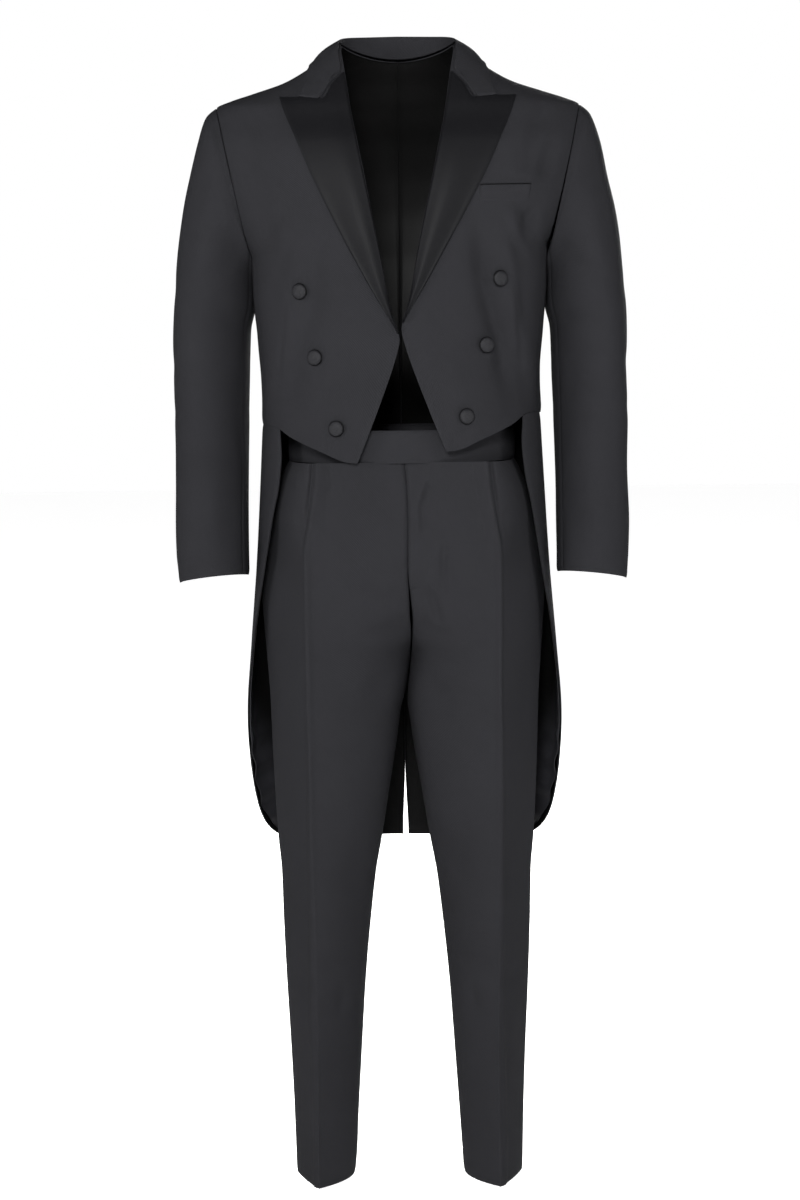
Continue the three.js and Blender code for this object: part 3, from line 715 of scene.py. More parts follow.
@dataclass
class Maker:
    """Turns sheets of points into finished pieces."""

    wardrobe: Wardrobe
    form: CoatForm = field(default_factory=CoatForm)

    def shell(
        self,
        name: str,
        sheet: Sheet,
        counts: tuple[int, int],
        nodes: Sequence[str] = (),
        finish: WovenFinish = WORSTED,
        inside: WovenFinish = LINING,
        thickness: float = CLOTH,
        slot: str = "suit_cloth",
        sunk: float = 1.0,
        painted_shade_top: float = 0.0,
    ) -> bpy.types.Object:
        """Builds a thin cloth shell from a sheet of points.

        Args:
            name: The piece's name.
            sheet: A function from two shares to a point and its outward direction, in millimetres.
            counts: The grid's columns and rows.
            nodes: The frame's nodes that it replaces, where they aren't called like it.
            finish: The outer face's finish.
            inside: The inner face's finish.
            thickness: The cloth's thickness, in millimetres.
            slot: A material slot's name; not used.
            sunk: How far its edges are turned in at the seams, in millimetres.
            painted_shade_top: The upper share of its outer face that takes the inner finish, as painted
                shade in place of a pocket's shaded opening.

        Returns:
            The piece, a sheet of cloth given its thickness.
        """
        columns, rows = counts
        mesh = bpy.data.meshes.new("cloth_" + name)
        work = bmesh.new()
        layer = work.loops.layers.uv.new("cloth")
        bmesh.ops.create_grid(work, x_segments=columns, y_segments=rows, size=0.5)
        places, outs = {}, {}
        for vertex in work.verts:
            u, v = vertex.co.x + 0.5, 0.5 - vertex.co.y
            places[vertex] = (u, v)
            point, out = sheet(u, v)
            outs[vertex] = out
            edge = 1 - min(1, min(u, 1 - u) * columns / 2, min(v, 1 - v) * rows / 2)
            vertex.co = (point - out * (sunk * edge ** 2)) * MM
        work.normal_update()
        facing = sum(face.normal.dot(outs[face.verts[0]]) for face in work.faces)
        if facing < 0:
            bmesh.ops.reverse_faces(work, faces=work.faces)
        width, length, area = self.measure(work, places, columns, rows)
        for face in work.faces:
            face.smooth = True
            # Painted shade: faces in the top share show the inner black finish on their outer face
            face.material_index = int(max(places[vertex][1] for vertex in face.verts) < painted_shade_top)
            for loop in face.loops:
                u, v = places[loop.vert]
                loop[layer].uv = (u * width, v * length)
        for edge in work.edges:
            edge.smooth = not edge.is_boundary
        work.to_mesh(mesh)
        work.free()
        for face_finish in (finish, inside):
            mesh.materials.append(self.wardrobe.get(face_finish))
        piece = add_object(mesh.name, mesh)
        solid = piece.modifiers.new("thickness", "SOLIDIFY")
        solid.thickness = thickness * MM
        solid.offset = -1
        solid.material_offset = 1
        solid.material_offset_rim = 0
        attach(piece, "root")
        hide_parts(*(nodes or [name]))
        min(area, width * length)
        log.info("%s: %.2f by %.2f m", name, width, length)
        return piece

    @staticmethod
    def measure(
        work: bmesh.types.BMesh, places: dict, columns: int, rows: int,
    ) -> tuple[float, float, float]:
        """Works out the flat cut of an unstretched sheet.

        Args:
            work: The sheet's mesh.
            places: Each vertex's place in the grid.
            columns: The grid's columns.
            rows: The grid's rows.

        Returns:
            Its greatest width and length and its area, in metres.
        """
        across, down = [0.0] * (rows + 1), [0.0] * (columns + 1)
        for edge in work.edges:
            (u0, v0), (u1, v1) = (places[vertex] for vertex in edge.verts)
            if abs(u1 - u0) > abs(v1 - v0):
                across[round(v0 * rows)] += edge.calc_length()
            else:
                down[round(u0 * columns)] += edge.calc_length()
        return max(across), max(down), sum(face.calc_area() for face in work.faces)

    def on_coat(
        self, side: Side, surface: Surface, lift: Callable[[float, float, Vector], float],
    ) -> Sheet:
        """A sheet on the coat's form, lifted, settled and mirrored to its side.

        Args:
            side: The wearer's side.
            surface: The sheet's points on the form, for +X.
            lift: How far each point stands out, in millimetres.

        Returns:
            The sheet.
        """

        def sheet(u: float, v: float) -> tuple[Vector, Vector]:
            point = surface(u, v)
            out = self.form.out(point)
            point = settle(point + out * lift(u, v, point), side)
            return point * side.mirror, out * side.mirror

        return sheet


def facing_of(surface: Surface, u: float, v: float, towards: Vector) -> Vector:
    """The outward direction of any sheet of points.

    Args:
        surface: The sheet.
        u: The share across.
        v: The share down.
        towards: A direction on the outer side.

    Returns:
        The unit direction.
    """
    step = 0.003
    across = surface(u + step, v) - surface(u - step, v)
    down = surface(u, v + step) - surface(u, v - step)
    out = across.cross(down)
    if out.length < 1e-9:
        return towards.normalized()
    out.normalize()
    return -out if out.dot(towards) < 0 else out


@dataclass
class Coat:
    """The tailcoat's body: foreparts, side bodies, backs and tails."""

    maker: Maker
    front_folds: tuple[Fold, ...] = table_of(
        Fold,
        (150, -300, 60, -345, -2.2, 14), (165, -350, 95, -380, -2.6, 13),
        (168, -395, 110, -415, -2.2, 13), (104, -235, 140, -430, -13.0, 15),
        (134, -240, 166, -420, 8.0, 12), (152, -300, 164, -440, -5.0, 9),
        (150, -186, 178, -236, -5.5, 7), (140, -206, 166, -262, 4.5, 7), (60, -390, 95, -500, 3.0, 18),
        (192, -64, 156, -150, -6.0, 11), (196, -118, 161, -240, -6.5, 10),
        (178, -90, 144, -190, 4.0, 12), (186, -150, 158, -215, 3.0, 9),
    )
    back_folds: tuple[Fold, ...] = table_of(
        Fold,
        (195, -150, 120, -230, -2.4, 18), (150, -120, 60, -150, -1.2, 22),
        (90, -420, 20, -445, -1.8, 14), (110, -445, 30, -470, 1.5, 12),
    )
    tail_folds: tuple[Fold, ...] = table_of(
        Fold,
        (150, -520, 120, -1000, 4.0, 26), (110, -560, 95, -1040, -4.0, 24),
        (190, -620, 185, -930, -3.0, 22),
    )
    dart_depth: float = 1.6
    button_dip: float = 3.2
    vent_gap: float = 3.4
    # How strong the front's folds are: the wearer's left chest is drawn in more
    pull = {Side.LEFT: 1.0, Side.RIGHT: 0.35}

    def build(self) -> None:
        """Builds every piece of the body."""
        for side in Side:
            self.forepart(side)
            self.side_body(side)
            self.back(side)
            self.tail(side)

    def forepart(self, side: Side) -> None:
        """Builds a forepart, with its dart and soft drag lines."""
        form = self.maker.form
        outer = form.outer_edge(form.side_turn, read(SIDE_SEAM, "x"), WAIST_SEAM, share=0.42)
        edge = along(FRONT_EDGE)

        def inner(t: float) -> Pair:
            # Its top is the shoulder seam's own end, so that no slit opens there
            return edge(t) if t > 0 else form.shoulder_seam(0)

        patch = stretch(form.shoulder_seam, along(FRONT_HEM), inner, outer)

        def surface(u: float, v: float) -> Vector:
            # The grid is closer towards the armhole and the shoulder
            return form.place(*patch(1 - (1 - u) ** 1.4, v ** 1.15))

        def lift(u: float, v: float, point: Vector) -> float:
            inside = within(u, 0.12, 0.93) * smooth(v, 0, 0.1)
            down = (DART_TOP.z - point.z) / (DART_TOP.z - DART_END.z)
            dart = -self.dart_depth * bell(point.x - lerp(DART_TOP.x, DART_END.x, down), 3.0)
            dart *= smooth(-point.z, 290, 330) * (1 - smooth(-point.z, 380, 420))
            # The buttons are sewn on tight, so the cloth dips under each and its folds die out there
            away = min(math.hypot(point.x - spot.x, point.z - spot.z) for spot in BUTTON_SPOTS)
            soft = unevenness(point, 70, 2.2, side.value * 3.1) - self.button_dip * bell(away, 12.5)
            pull = self.pull[side] * (1 - 0.9 * bell(away, 17))
            relief = pull * folded(self.front_folds, point.x, point.z) + soft
            if side is Side.LEFT:
                # The breast pocket keeps the cloth flat round its welt
                relief *= 1 - math.exp(-(((point.z - POCKET_Z) / 22) ** 4)) * smooth(point.x, 85, 100)
            return inside * relief + dart

        sheet = self.maker.on_coat(side, surface, lift)
        self.maker.shell("forepart_" + side.word, sheet, (64, 96), ["front_" + side.word])

    def side_body(self, side: Side) -> None:
        """Builds the panel under the arm."""
        form = self.maker.form

        def top(t: float) -> Pair:
            point = form.armhole(lerp(form.side_turn, 2 * math.pi - form.back_turn, t))
            return form.angle(point.x, point.z, point.y > 0), point.z

        front_x, back_x = read(SIDE_SEAM, "x"), read(BACK_SEAM, "x")
        start = form.angle(front_x(WAIST_SEAM), WAIST_SEAM, False)
        end = form.angle(back_x(WAIST_SEAM), WAIST_SEAM, True)

        def seam(column: Column, high: float, behind: bool) -> Curve:
            def edge(t: float) -> Pair:
                z = lerp(high, WAIST_SEAM, t)
                return form.angle(column(z), z, behind), z

            return edge

        inner = seam(front_x, form.armhole_z(form.side_turn), False)
        outer = seam(back_x, form.armhole_z(form.back_turn), True)
        patch = stretch(top, lambda t: (lerp(start, end, t), WAIST_SEAM), inner, outer)

        def surface(u: float, v: float) -> Vector:
            angle, z = patch(u, v)
            return form.ring(angle, z)

        def lift(u: float, v: float, point: Vector) -> float:
            inside = within(u, 0.15, 0.85) * smooth(v, 0, 0.15)
            drag = math.sin(point.z / 19 + 2 * u) * 1.3 * smooth(v, 0.45, 0.9)
            return inside * (drag + unevenness(point, 50, 2.0, 7.3 * side.value))

        sheet = self.maker.on_coat(side, surface, lift)
        self.maker.shell("side_body_" + side.word, sheet, (48, 48))

    def back(self, side: Side) -> None:
        """Builds a back, from the neck to the tail hem beside the vent."""
        form, seam_x = self.maker.form, read(BACK_SEAM, "x")
        # The share of the upper edge that is the neck
        neck = 0.3

        def top(t: float) -> Pair:
            if t < neck:
                return NECK_X * t / neck, lerp(NAPE_Z, NECK_Z, (t / neck) ** 2)
            return form.shoulder_seam((t - neck) / (1 - neck))

        def inner(t: float) -> Pair:
            # The vent opens a little towards the hem
            z = lerp(NAPE_Z, COAT_HEM, t)
            return self.vent_gap * smooth(-z, 945, -COAT_HEM), z

        outer = form.outer_edge(form.back_turn, seam_x, COAT_HEM, share=0.14)
        patch = stretch(top, lambda t: (lerp(3.5, seam_x(COAT_HEM), t), COAT_HEM), inner, outer)

        def surface(u: float, v: float) -> Vector:
            x, z = patch(u, v ** 1.35)
            return Vector((max(x, 0), form.depth(x, z, True), z))

        def lift(u: float, v: float, point: Vector) -> float:
            inside = within(u, 0.2, 0.85) * smooth(v, 0, 0.06)
            soft = unevenness(point, 80, 2.4, 11.7 * side.value)
            return inside * (folded(self.back_folds, point.x, point.z) + soft)

        sheet = self.maker.on_coat(side, surface, lift)
        self.maker.shell("back_" + side.word, sheet, (48, 150))

    def tail(self, side: Side) -> None:
        """Builds a tail and its lining."""
        form = self.maker.form
        seam_x, edge_angle = read(BACK_SEAM, "x"), read(TAIL_EDGE, "angle")
        hem, drop_z = along(TAIL_HEM), Column([s.x for s in FRONT_HEM], [s.z for s in FRONT_HEM])

        def pleat(z: float) -> float:
            return form.angle(seam_x(z) + 2, z, True)

        def top(t: float) -> Pair:
            return lerp(pleat(WAIST_SEAM), math.radians(edge_angle(WAIST_SEAM)), t), WAIST_SEAM

        def bottom(t: float) -> Pair:
            angle, z = hem(t)
            return lerp(pleat(z), math.radians(angle), smooth(t, 0, 0.15)), z

        def inner(t: float) -> Pair:
            z = lerp(WAIST_SEAM, COAT_HEM, t)
            return pleat(z), z

        def outer(t: float) -> Pair:
            z = lerp(WAIST_SEAM, TAIL_CORNER, t)
            return math.radians(edge_angle(z)), z

        patch = stretch(top, bottom, inner, outer)

        def surface(u: float, v: float) -> Vector:
            angle, z = patch(u, v)
            x = form.half_width(WAIST_SEAM) * math.sin(angle) ** 0.9
            drop = drop_z(x) - WAIST_SEAM if angle < math.pi / 2 else 0
            return form.ring(angle, z + drop * (1 - smooth(v, 0, 0.2)))

        def lift(u: float, v: float, point: Vector) -> float:
            inside = within(u, 0.15, 0.9) * smooth(v, 0, 0.2)
            behind = smooth(point.y, -10, 60)
            return inside * behind * (folded(self.tail_folds, point.x, point.z) + 1.5 * smooth(v, 0.3, 1))

        sheet = self.maker.on_coat(side, surface, lift)
        self.maker.shell("tail_" + side.word, sheet, (56, 80))

        def inside(u: float, v: float) -> Vector:
            return surface(clamp(u, 0.012, 0.98), clamp(v, 0.01, 0.988))

        def lining_lift(u: float, v: float, point: Vector) -> float:
            # The lining is cut loose, so it hangs in soft level folds near the hem
            level = math.sin(point.z / 6.5 + 1.5 * math.sin(point.x / 30)) * smooth(-point.z, 840, 920)
            slack = 2.0 * (1 + level) * smooth(u, 0, 0.1) * (1 - smooth(u, 0.75, 0.97))
            return lift(u, v, point) - CLOTH - LOOSE - slack

        lining = self.maker.on_coat(side, inside, lining_lift)
        name = "tail_lining_" + side.word
        # The tail lining's satin carries painted light: lighter than the coat's lining, and paler towards
        # the hem
        self.maker.shell(name, lining, (56, 120), (), PAINTED_LIT_TAIL_SATIN, PAINTED_LIT_TAIL_SATIN, 0.5, "lining_satin")


@dataclass
class Facings:
    """The satin lapels and the folded collar."""

    maker: Maker

    def build(self) -> None:
        """Builds the lapels and the collar."""
        for side in Side:
            self.lapel(side)
        self.collar()

    def lapel(self, side: Side) -> None:
        """Builds a peak lapel that rolls out of the forepart's edge."""
        form = self.maker.form
        # The lapel ends at the edge's tenth point, where the coat closes
        edge = along(FRONT_EDGE[:10])

        def inner(t: float) -> Pair:
            # Its upper tenth lies under the collar
            return edge(lerp(0.1, 0.995, t))

        start, end = inner(1), LAPEL_OUTER[-1]

        def bottom(t: float) -> Pair:
            return lerp(start[0], end.x, t), lerp(start[1], end.z, t)

        patch = stretch(along(LAPEL_TOP), bottom, inner, along(LAPEL_OUTER))

        def surface(u: float, v: float) -> Vector:
            return form.place(*patch(u, v))

        def lift(u: float, v: float, point: Vector) -> float:
            roll = (3 + 2.5 * v) * math.sin(math.pi * clamp(u * 1.1)) ** 1.5 * (1 - u * 0.5)
            turn = -3.2 * (1 - smooth(u, 0, 0.05)) ** 2
            # The lapel stands off the forepart most where it starts to roll
            proud = 2.6 * smooth(v, 0.45, 0.85) * (1 - smooth(v, 0.9, 1)) * smooth(u, 0.3, 1)
            return LAPEL_GAP + proud + roll + turn + unevenness(point, 60, 0.8, 5.2 * side.value)

        sheet = self.maker.on_coat(side, surface, lift)
        name = "lapel_" + side.word
        self.maker.shell(name, sheet, (48, 110), (), FACING, FACING, 1.6, "facing_satin")

    def point(self, place: float, across: float) -> Vector:
        """A point of the collar's fall.

        Args:
            place: From -1 at the wearer's right end to 1 at the left end.
            across: From 0 at the fold to 1 at the outer edge.

        Returns:
            The point, in millimetres.
        """
        last = len(COLLAR_ROWS) - 1
        row = clamp((1 - abs(place)) * last, 0, last)
        values = [column(row) for column in COLLAR_COLUMNS]
        fold, outer, on_coat = Vector(values[0:3]), Vector(values[3:6]), values[6]
        point = fold.lerp(outer, across)
        form = self.maker.form
        lying = form.depth(point.x, point.z, False) - COLLAR_GAP - 1.5 * math.sin(math.pi * across)
        point.y = lerp(point.y, lying, on_coat)
        bulge = (1 - on_coat) * 5 * math.sin(math.pi * across)
        point += Vector((point.x, point.y, 40)).normalized() * bulge
        if across > 0.2 or on_coat > 0:
            point = form.stand_off(point, COLLAR_GAP)
        return point * Vector((1 if place >= 0 else -1, 1, 1))

    def collar(self) -> None:
        """Builds the collar as one strip: its stand, the fold and the fall."""

        def stand(place: float) -> Vector:
            fold = self.point(place, 0)
            share = smooth(1 - abs(place), 0.42, 0.62)
            low = 2.6 + lerp(NAPE_Z, NECK_Z, clamp(abs(fold.x * 0.965) / NECK_X) ** 2)
            base = Vector((fold.x * 0.962, fold.y * 0.93, low))
            tucked = fold + Vector((-2.2 * (1 if place > 0 else -1), 2.0, -2.0))
            return tucked.lerp(base, share)

        def surface(u: float, v: float) -> Vector:
            place = lerp(-1, 1, clamp(u))
            if v >= STAND:
                return self.point(place, clamp((v - STAND) / (1 - STAND)))
            rise = smooth(v, 0, STAND)
            crown = Vector((0, 0, 1.6 * math.sin(math.pi * rise)))
            return stand(place).lerp(self.point(place, 0), rise) + crown

        def sheet(u: float, v: float) -> tuple[Vector, Vector]:
            point = surface(u, v)
            outer = Vector((point.x, point.y, 30)) if v > STAND else Vector((-point.x, -point.y, 20))
            return point, facing_of(surface, u, v, outer)

        self.maker.shell("collar", sheet, (180, 30), ["collar", "collar_stand"], WORSTED, WORSTED, 1.6)


@dataclass
class Sleeves:
    """Two-piece sleeves with soft folds at the elbow."""

    maker: Maker
    folds: tuple[Fold, ...] = table_of(
        Fold,
        (-45, -335, 20, -352, -1.8, 11), (-40, -382, 45, -396, -2.2, 12),
        (-45, -425, 30, -428, -1.8, 11), (-30, -468, 50, -455, -1.6, 12),
        (-45, -520, 20, -500, -1.3, 13), (-30, -255, 45, -300, -2.4, 15),
        (-35, -590, 30, -575, -1.3, 14), (-8, -140, 22, -330, 2.6, 20), (-15, -440, 5, -660, 2.0, 18),
        (25, -120, 38, -260, -2.4, 12),
    )

    # How far the seams turn to the front at the elbow and back again at the wrist
    elbow_turn: float = 36.0
    wrist_turn: float = 18.0
    bluntness: float = 0.75
    hem_rise: float = 7.0
    # Each piece's name, the angles between its seams, in degrees, and its columns
    pieces = (("top_sleeve_", -105, 150, 84), ("under_sleeve_", 150, 255, 40))

    def build(self) -> None:
        """Builds both sleeves."""
        columns = {key: read(SLEEVE_ROWS, key, "at") for key in SleeveRow._fields}
        last = len(SLEEVE_ROWS) - 1
        form = self.maker.form
        plane = Vector((SHOULDER_Z - ARMPIT_Z, 0, ARMPIT_X - SHOULDER_X)).normalized()

        def point_at(place: float, turn: float) -> Vector:
            row = SleeveRow(*(columns[key](place) for key in SleeveRow._fields))
            outward = (1 + math.cos(turn)) / 2
            inner, outer = Vector((row.inner_x, 0, row.inner_z)), Vector((row.outer_x, 0, row.outer_z))
            point = inner.lerp(outer, outward)
            twist = self.elbow_turn * smooth(place, 1, 4) - self.wrist_turn * smooth(place, 8, 12)
            turned = twist * ((1 - outward) ** 1.5 - 0.3)
            blunt = math.copysign(abs(math.sin(turn)) ** self.bluntness, math.sin(turn))
            rounded = row.shift - row.depth * blunt + turned
            point.y = lerp(form.armhole(turn).y, rounded, smooth(place, 0, 2))
            # The hem rises a little over the front of the wrist
            point.z += self.hem_rise * max(math.sin(turn), 0) * smooth(place, 9, last)
            return point

        for side in Side:
            for name, start, end, count in self.pieces:

                def surface(u: float, v: float, start: float = start, end: float = end) -> Vector:
                    return point_at(clamp(v) * last, math.radians(lerp(start, end, u)))

                def sheet(u: float, v: float, surface: Callable = surface, side: Side = side) -> tuple:
                    point = surface(u, v)
                    middle = (point_at(v * last, 0) + point_at(v * last, math.pi)) / 2
                    out = facing_of(surface, u, v, point - middle)
                    level = 1 - smooth(v, 0, 0.08)
                    out = (out - plane * level * out.dot(plane)).normalized()
                    point = point + plane * 0.5 * level
                    # Folds are placed across the arm: its front is at minus 50, its back at plus 50
                    across = (point.x - middle.x) * (1 if point.y < middle.y else -1)
                    calm = smooth(v, 0.05, 0.2) * (1 - smooth(v, 0.93, 1))
                    inner_arm = 1 - 0.7 * (1 - smooth(point.x, 205, 225))
                    soft = unevenness(point, 55, 3.0, 3.7 * side.value)
                    height = calm * inner_arm * (folded(self.folds, across, point.z) + soft)
                    return (point + out * height) * side.mirror, out * side.mirror

                self.maker.shell(name + side.word, sheet, (count, 150))


@dataclass
class Trousers:
    """Pleated trousers with pressed creases, a waistband and a fly."""

    maker: Maker
    front_folds: tuple[Fold, ...] = table_of(
        Fold,
        (8, -700, 60, -690, -2.0, 10), (8, -735, 62, -752, -2.6, 11), (12, -790, 50, -835, -2.4, 14),
        (93, -540, 86, -560, -2.4, 8), (134, -590, 129, -612, -2.6, 7),
        (160, -610, 140, -720, -2.6, 16), (80, -560, 90, -680, 2.4, 20),
        (66, -1180, 110, -1192, -2.6, 12), (85, -1215, 88, -1255, -2.8, 8),
        (150, -1205, 125, -1215, -2.2, 12), (45, -1020, 80, -1080, -2.4, 16),
        (150, -900, 155, -1050, -2.4, 16), (80, -1400, 110, -1430, -2.2, 14),
    )
    back_folds: tuple[Fold, ...] = table_of(
        Fold,
        (10, -800, 100, -770, -3.6, 14), (12, -835, 110, -815, -3.0, 14),
        (20, -880, 100, -870, -2.4, 14), (150, -700, 90, -800, -2.6, 18),
        (60, -1190, 120, -1180, -3.0, 13), (150, -1215, 100, -1210, -2.6, 13),
        (65, -1250, 120, -1240, -2.2, 13), (85, -1420, 130, -1440, -2.0, 14),
    )
    fly_folds: tuple[Fold, ...] = table_of(
        Fold,
        (34, -545, 19, -575, -4.2, 5), (18, -575, 20, -612, -3.6, 5), (26, -548, 13, -580, 2.4, 6),
        (52, -632, 51, -682, -3.8, 6), (60, -640, 58, -690, 2.2, 7), (26, -686, 43, -726, -4.4, 6),
    )
    columns: tuple[Column, ...] = tuple(read(LEG_ROWS, key) for key in LegRow._fields)
    groove_depth: float = 2.6
    pleat_step: float = 6.0
    crease_rise: float = 2.4
    tuck_depth: float = 3.2

    def groove(self, point: Vector) -> float:
        """The depth of the line beside the fly's edge, which runs from the waistband to the fork."""
        return self.groove_depth * bell(point.x, 2.6) * (1 - smooth(-point.z, 715, 750))

    def point(self, across: float, z: float, behind: bool) -> Vector:
        """A point of a trouser panel.

        Args:
            across: From the inner seam, over the crease at 0.5, to the outer seam.
            z: The height.
            behind: Whether it is on the back.

        Returns:
            The point for +X, in millimetres.
        """
        leg = LegRow(*(column(z) for column in self.columns))
        inward = across < 0.5
        share = clamp(across * 2 if inward else (1 - across) * 2)
        rounded = 1 - math.cos(share * math.pi / 2)
        pressed = smooth(-z, 545, 660)
        rounding = leg.fork if inward else 1 - 0.75 * pressed
        x = lerp(leg.inner if inward else leg.outer, leg.crease, lerp(share, rounded, rounding))
        depth = leg.back if behind else leg.front
        sharp = 0.42 * pressed + 0.3 * smooth(-z, 1100, 1450) if inward else 0.75 * pressed
        rise = lerp(math.sin(share * math.pi / 2), share, sharp)
        middle = leg.seat if behind else depth * 0.97
        edge = middle * math.cos(leg.fork * math.pi / 2) if inward else 0.0
        y = lerp(edge, depth, rise)
        return Vector((x, y if behind else -y, z))

    def sheet(self, side: Side, behind: bool, lift: float = 0.0) -> Sheet:
        """A trouser panel's sheet.

        Args:
            side: The wearer's side.
            behind: Whether it is the back.
            lift: How far it is moved out.

        Returns:
            The sheet.
        """
        low, high = LEG_ROWS[-1].z, BAND_BOTTOM
        folds = self.back_folds if behind else self.front_folds
        fork_at = self.columns[LegRow._fields.index("fork")]
        towards = Vector((0, 1 if behind else -1, 0))

        def surface(u: float, v: float) -> Vector:
            return self.point(u, lerp(high, low, v), behind)

        def sheet(u: float, v: float) -> tuple[Vector, Vector]:
            point = surface(u, v)
            out = facing_of(surface, clamp(u, 0.01, 0.99), clamp(v, 0.005, 0.995), towards)
            if u > 0.99:
                out = Vector((1, 0, 0))
            if u < 0.01:
                fork = fork_at(point.z)
                out = Vector((-fork, towards.y * (1 - fork), 0)).normalized()
            calm = within(u, 0.1, 0.9) * within(v, 0.05, 0.97)
            soft = unevenness(point, 75, 3.0, 9.1 * side.value + (4 if behind else 0))
            height = calm * (folded(folds, point.x, point.z) + soft)
            if not behind:
                height += self.pleat(point) - self.groove(point)
                if side is Side.LEFT:
                    height += calm * folded(self.fly_folds, point.x, point.z)
            point = (point + out * (height + lift)) * side.mirror
            sway = FLY_SWAY(point.z) * bell(point.x, 45)
            return point + Vector((sway, 0, 0)), out * side.mirror

        return sheet

    def pleat(self, point: Vector) -> float:
        """The step of the pleat that opens under the waistband and runs into the crease."""
        line = lerp(112, 125, smooth(-point.z, 521, 640))
        fade = 1 - smooth(-point.z, 575, 650)
        step = smooth(point.x, line - 22, line - 1.5) - smooth(point.x, line - 1.5, line + 2.5)
        pressed = smooth(-point.z, 570, 660) * bell(point.x - line, 3.5)
        tuck = fade * bell(point.x - line - 4, 2.6)
        return self.pleat_step * fade * step + self.crease_rise * pressed - self.tuck_depth * tuck

    def build(self) -> None:
        """Builds the legs, the waistband and the fly."""
        for side in Side:
            for word, behind in (("front", False), ("back", True)):
                name = "trouser_" + word + "_" + side.word
                self.maker.shell(name, self.sheet(side, behind), (100, 170), (), WORSTED, WORSTED)
        self.waistband()
        self.fly()

    def waistband(self) -> None:
        """Builds the waistband, seamed at the back."""
        half_width, front, back = 148.0, 114.0, 103.0

        def sheet(u: float, v: float) -> tuple[Vector, Vector]:
            turn = lerp(-math.pi, math.pi, u)
            depth = front if math.cos(turn) > 0 else back
            out = Vector((math.sin(turn) / half_width, -math.cos(turn) / front, 0)).normalized()
            z = lerp(BAND_TOP, BAND_BOTTOM - 1.5, v)
            point = Vector((half_width * math.sin(turn), -depth * math.cos(turn), z))
            roll = 1.2 - 1.4 * (1 - smooth(v, 0, 0.08))
            return point + out * (roll + unevenness(point, 40, 1.0, 2.2)), out

        self.maker.shell("waistband", sheet, (180, 14), (), WORSTED, WORSTED, 2.0)

    def fly(self) -> None:
        """Builds the fly's top layer, which ends in a curve at the crotch."""
        front = self.sheet(Side.LEFT, False, 1.4)
        length = BAND_BOTTOM - LEG_ROWS[-1].z
        # Its share of the front's width, and the height where its edge starts to bend in
        width, bend_z = 0.15, -630

        def sheet(u: float, v: float) -> tuple[Vector, Vector]:
            down = lerp(0.002, 0.172, v)
            z = BAND_BOTTOM - down * length
            curve = math.sqrt(clamp(1 - ((bend_z - z) / 58) ** 2, 0.02, 1)) if z < bend_z else 1.0
            point, out = front(lerp(0.0, width * curve, u), down)
            return point - out * 1.3 * smooth(u, 0.1, 1), out

        self.maker.shell("fly", sheet, (24, 80), (), WORSTED, WORSTED, 1.0)


@dataclass
class Trimmings:
    """The covered buttons and the breast pocket's welt."""

    maker: Maker
    radius: float = 10.5
    height: float = 4.6
    stand: float = 0.9
    # The share of the button's height, from its foot, painted black as shade
    gap: float = 0.14
    turns: int = 48

    def build(self) -> None:
        """Builds the buttons and the welt."""
        for side in Side:
            for number, spot in enumerate(BUTTON_SPOTS, start=1):
                self.button(side, number, spot)
        self.welt()

    def button(self, side: Side, number: int, spot: Spot) -> None:
        """Builds a cloth covered button by turning its profile round.

        Args:
            side: The wearer's side.
            number: Its number from the top.
            spot: Where it sits.
        """
        name = f"button_{side.word}_{number}"
        form = self.maker.form
        place = form.place(spot.x, spot.z)
        out = form.out(place)
        place, out = settle(place + out * self.stand, side) * side.mirror, out * side.mirror
        work = bmesh.new()
        profile = [work.verts.new((x * self.radius, 0, z * self.height)) for x, z in BUTTON_PROFILE]
        edges = [work.edges.new(pair) for pair in zip(profile, profile[1:])]
        bmesh.ops.spin(
            work, geom=profile + edges, cent=(0, 0, 0), axis=(0, 0, 1), angle=2 * math.pi,
            steps=self.turns, use_merge=True,
        )
        bmesh.ops.remove_doubles(work, verts=work.verts, dist=0.001)
        for vertex in work.verts:
            # The cloth is gathered over the button and isn't quite even
            vertex.co.z *= 1 + unevenness(vertex.co, 5, 0.09, side.value * number)
        bmesh.ops.recalc_face_normals(work, faces=work.faces)
        layer = work.loops.layers.uv.new("cloth")
        for face in work.faces:
            face.smooth = True
            # Painted shade: the button's foot and flange take the black lining finish, in place of the
            # shadow between the button and the coat
            face.material_index = int(max(vertex.co.z for vertex in face.verts) < self.gap * self.height)
            for loop in face.loops:
                loop[layer].uv = (loop.vert.co.x * MM, loop.vert.co.y * MM)
        turn = Vector((0, 0, 1)).rotation_difference(out).to_matrix().to_4x4()
        placed = Matrix.Translation(place * MM) @ turn @ Matrix.Scale(MM, 4)
        bmesh.ops.transform(work, matrix=placed, verts=work.verts)
        mesh = bpy.data.meshes.new("cover_" + name)
        work.to_mesh(mesh)
        work.free()
        # The black lining finish paints the shade under the button's rim
        for finish in (RIBBED, LINING):
            mesh.materials.append(self.maker.wardrobe.get(finish))
        piece = add_object(mesh.name, mesh)
        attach(piece, "root")
        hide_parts(name)
        log.info("%s", name)

    def welt(self) -> None:
        """Builds the welt of the breast pocket on the wearer's left."""
        form = self.maker.form

        def surface(u: float, v: float) -> Vector:
            # It leans a little and rises by a millimetre towards the arm
            return form.place(lerp(104, 171, u) - 3 * v, lerp(-168.5, -192, v) + u)

        def lift(u: float, v: float, point: Vector) -> float:
            return 0.6 + 2.2 * within(u, 0.05, 0.96) * (1 - smooth(v, 0.1, 0.9))

        sheet = self.maker.on_coat(Side.LEFT, surface, lift)
        # Its top rows are painted with the black lining as the shade in the pocket's opening
        self.maker.shell("breast_welt", sheet, (40, 16), thickness=1.0, painted_shade_top=0.07)


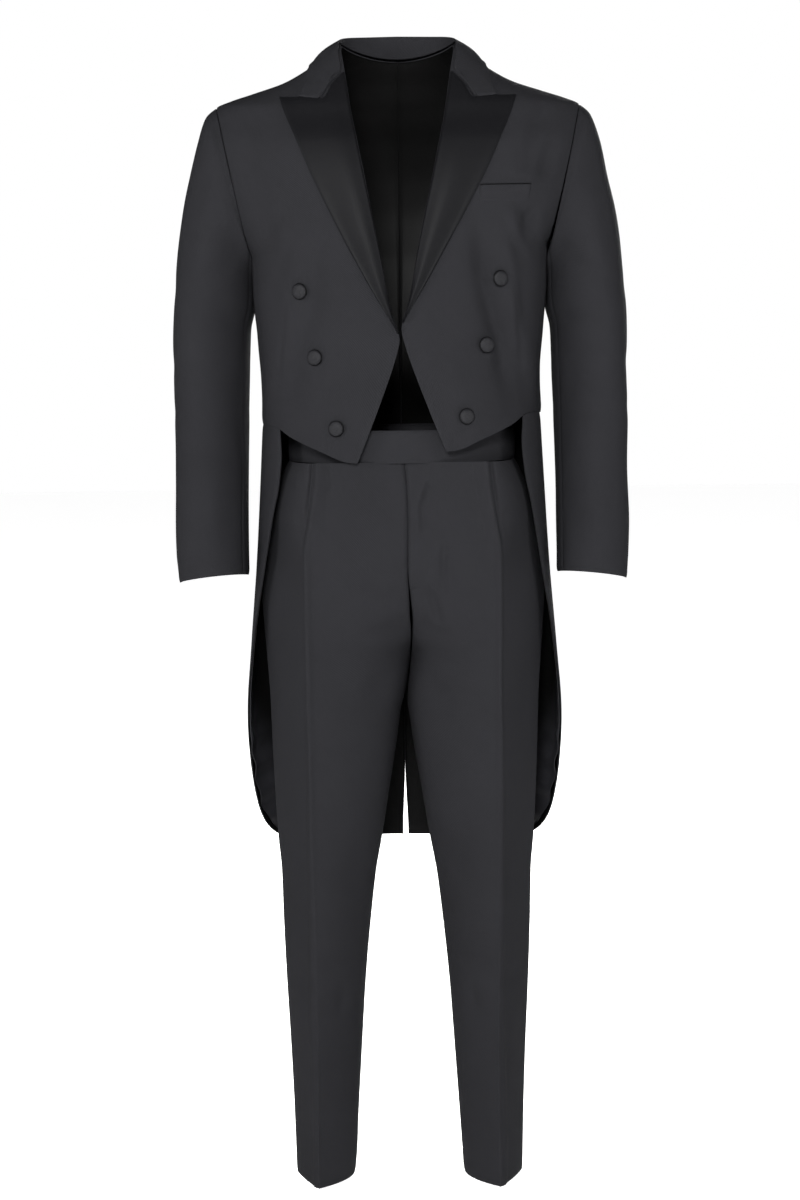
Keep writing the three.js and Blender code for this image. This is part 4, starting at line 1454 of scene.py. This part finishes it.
@dataclass
class Studio:
    """The camera, the pale floor and the soft lights."""

    wardrobe: Wardrobe
    distance: float = 4.3
    height: float = -0.296
    shift_x: float = -0.0045
    pitch: float = 5.5
    roll: float = 0.65
    lens: float = 97.47
    floor_z: float = -1.4865

    def build(self) -> None:
        """Builds the camera first, then the floor and the lights."""
        self.camera()
        self.floor()
        self.lights()

    def camera(self) -> None:
        """Places the camera where the photograph was taken."""
        data = bpy.data.cameras.new("camera")
        data.sensor_fit = "VERTICAL"
        data.sensor_height = 36
        data.lens = self.lens
        camera = add_object("camera", data)
        turn = Matrix.Rotation(math.radians(90 - self.pitch), 4, "X")
        turn @= Matrix.Rotation(-math.radians(self.roll), 4, "Z")
        camera.matrix_world = Matrix.Translation((self.shift_x, -self.distance, self.height)) @ turn
        bpy.context.scene.camera = camera

    def floor(self) -> None:
        """Lays a pale floor."""
        work = bmesh.new()
        bmesh.ops.create_grid(work, x_segments=1, y_segments=1, size=15)
        bmesh.ops.translate(work, vec=(0, 0, self.floor_z), verts=work.verts)
        mesh = bpy.data.meshes.new("floor")
        work.to_mesh(mesh)
        work.free()
        mesh.materials.append(self.wardrobe.get(MatteFinish("studio_floor", "#ffffff", 0.95, 0.68)))
        add_object("floor", mesh)

    def lights(self) -> None:
        """Hangs large soft lights round the suit."""
        world = bpy.data.worlds.new("studio")
        world.use_nodes = True
        tree = world.node_tree
        way = add_node(tree, "TexCoord").outputs["Generated"]
        rise = add_node(tree, "SeparateXYZ", {0: way}).outputs["Z"]
        # White all round and dim overhead, as a studio with a high dark ceiling is
        dim = {"Value": rise, "From Min": 0.12, "From Max": 0.42, "To Min": 1.0, "To Max": 0.2}
        fade = add_node(tree, "MapRange", dim, interpolation_type="SMOOTHSTEP").outputs["Result"]
        feed(tree, tree.nodes["Background"], {"Strength": fade, "Color": (1, 1, 1, 1)})
        bpy.context.scene.world = world
        bpy.context.scene.view_settings.view_transform = "Standard"
        lamps = (
            ("front", (-0.35, -4.2, 0.9), 1.0, 570),
            ("west", (-3.9, -2.4, 0.5), 1.4, 250),
            ("east", (3.9, -2.4, 0.3), 1.4, 170),
            ("behind", (1.4, 3.6, 0.9), 1.6, 260),
        )
        for name, place, size, power in lamps:
            data = bpy.data.lights.new(name, "AREA")
            data.shape = "SQUARE"
            data.size = size
            data.energy = power
            lamp = add_object(name, data)
            aim = (Vector((0, 0, -0.6)) - Vector(place)).to_track_quat("-Z", "Y")
            lamp.matrix_world = Matrix.Translation(place) @ aim.to_matrix().to_4x4()


def main() -> None:
    """Builds the studio and every piece of the suit."""
    logging.basicConfig(level=logging.INFO, format="%(message)s")
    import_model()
    wardrobe = Wardrobe()
    Studio(wardrobe).build()
    maker = Maker(wardrobe)
    Coat(maker).build()
    Facings(maker).build()
    Sleeves(maker).build()
    Trousers(maker).build()
    Trimmings(maker).build()


if __name__ == "__main__":
    main()
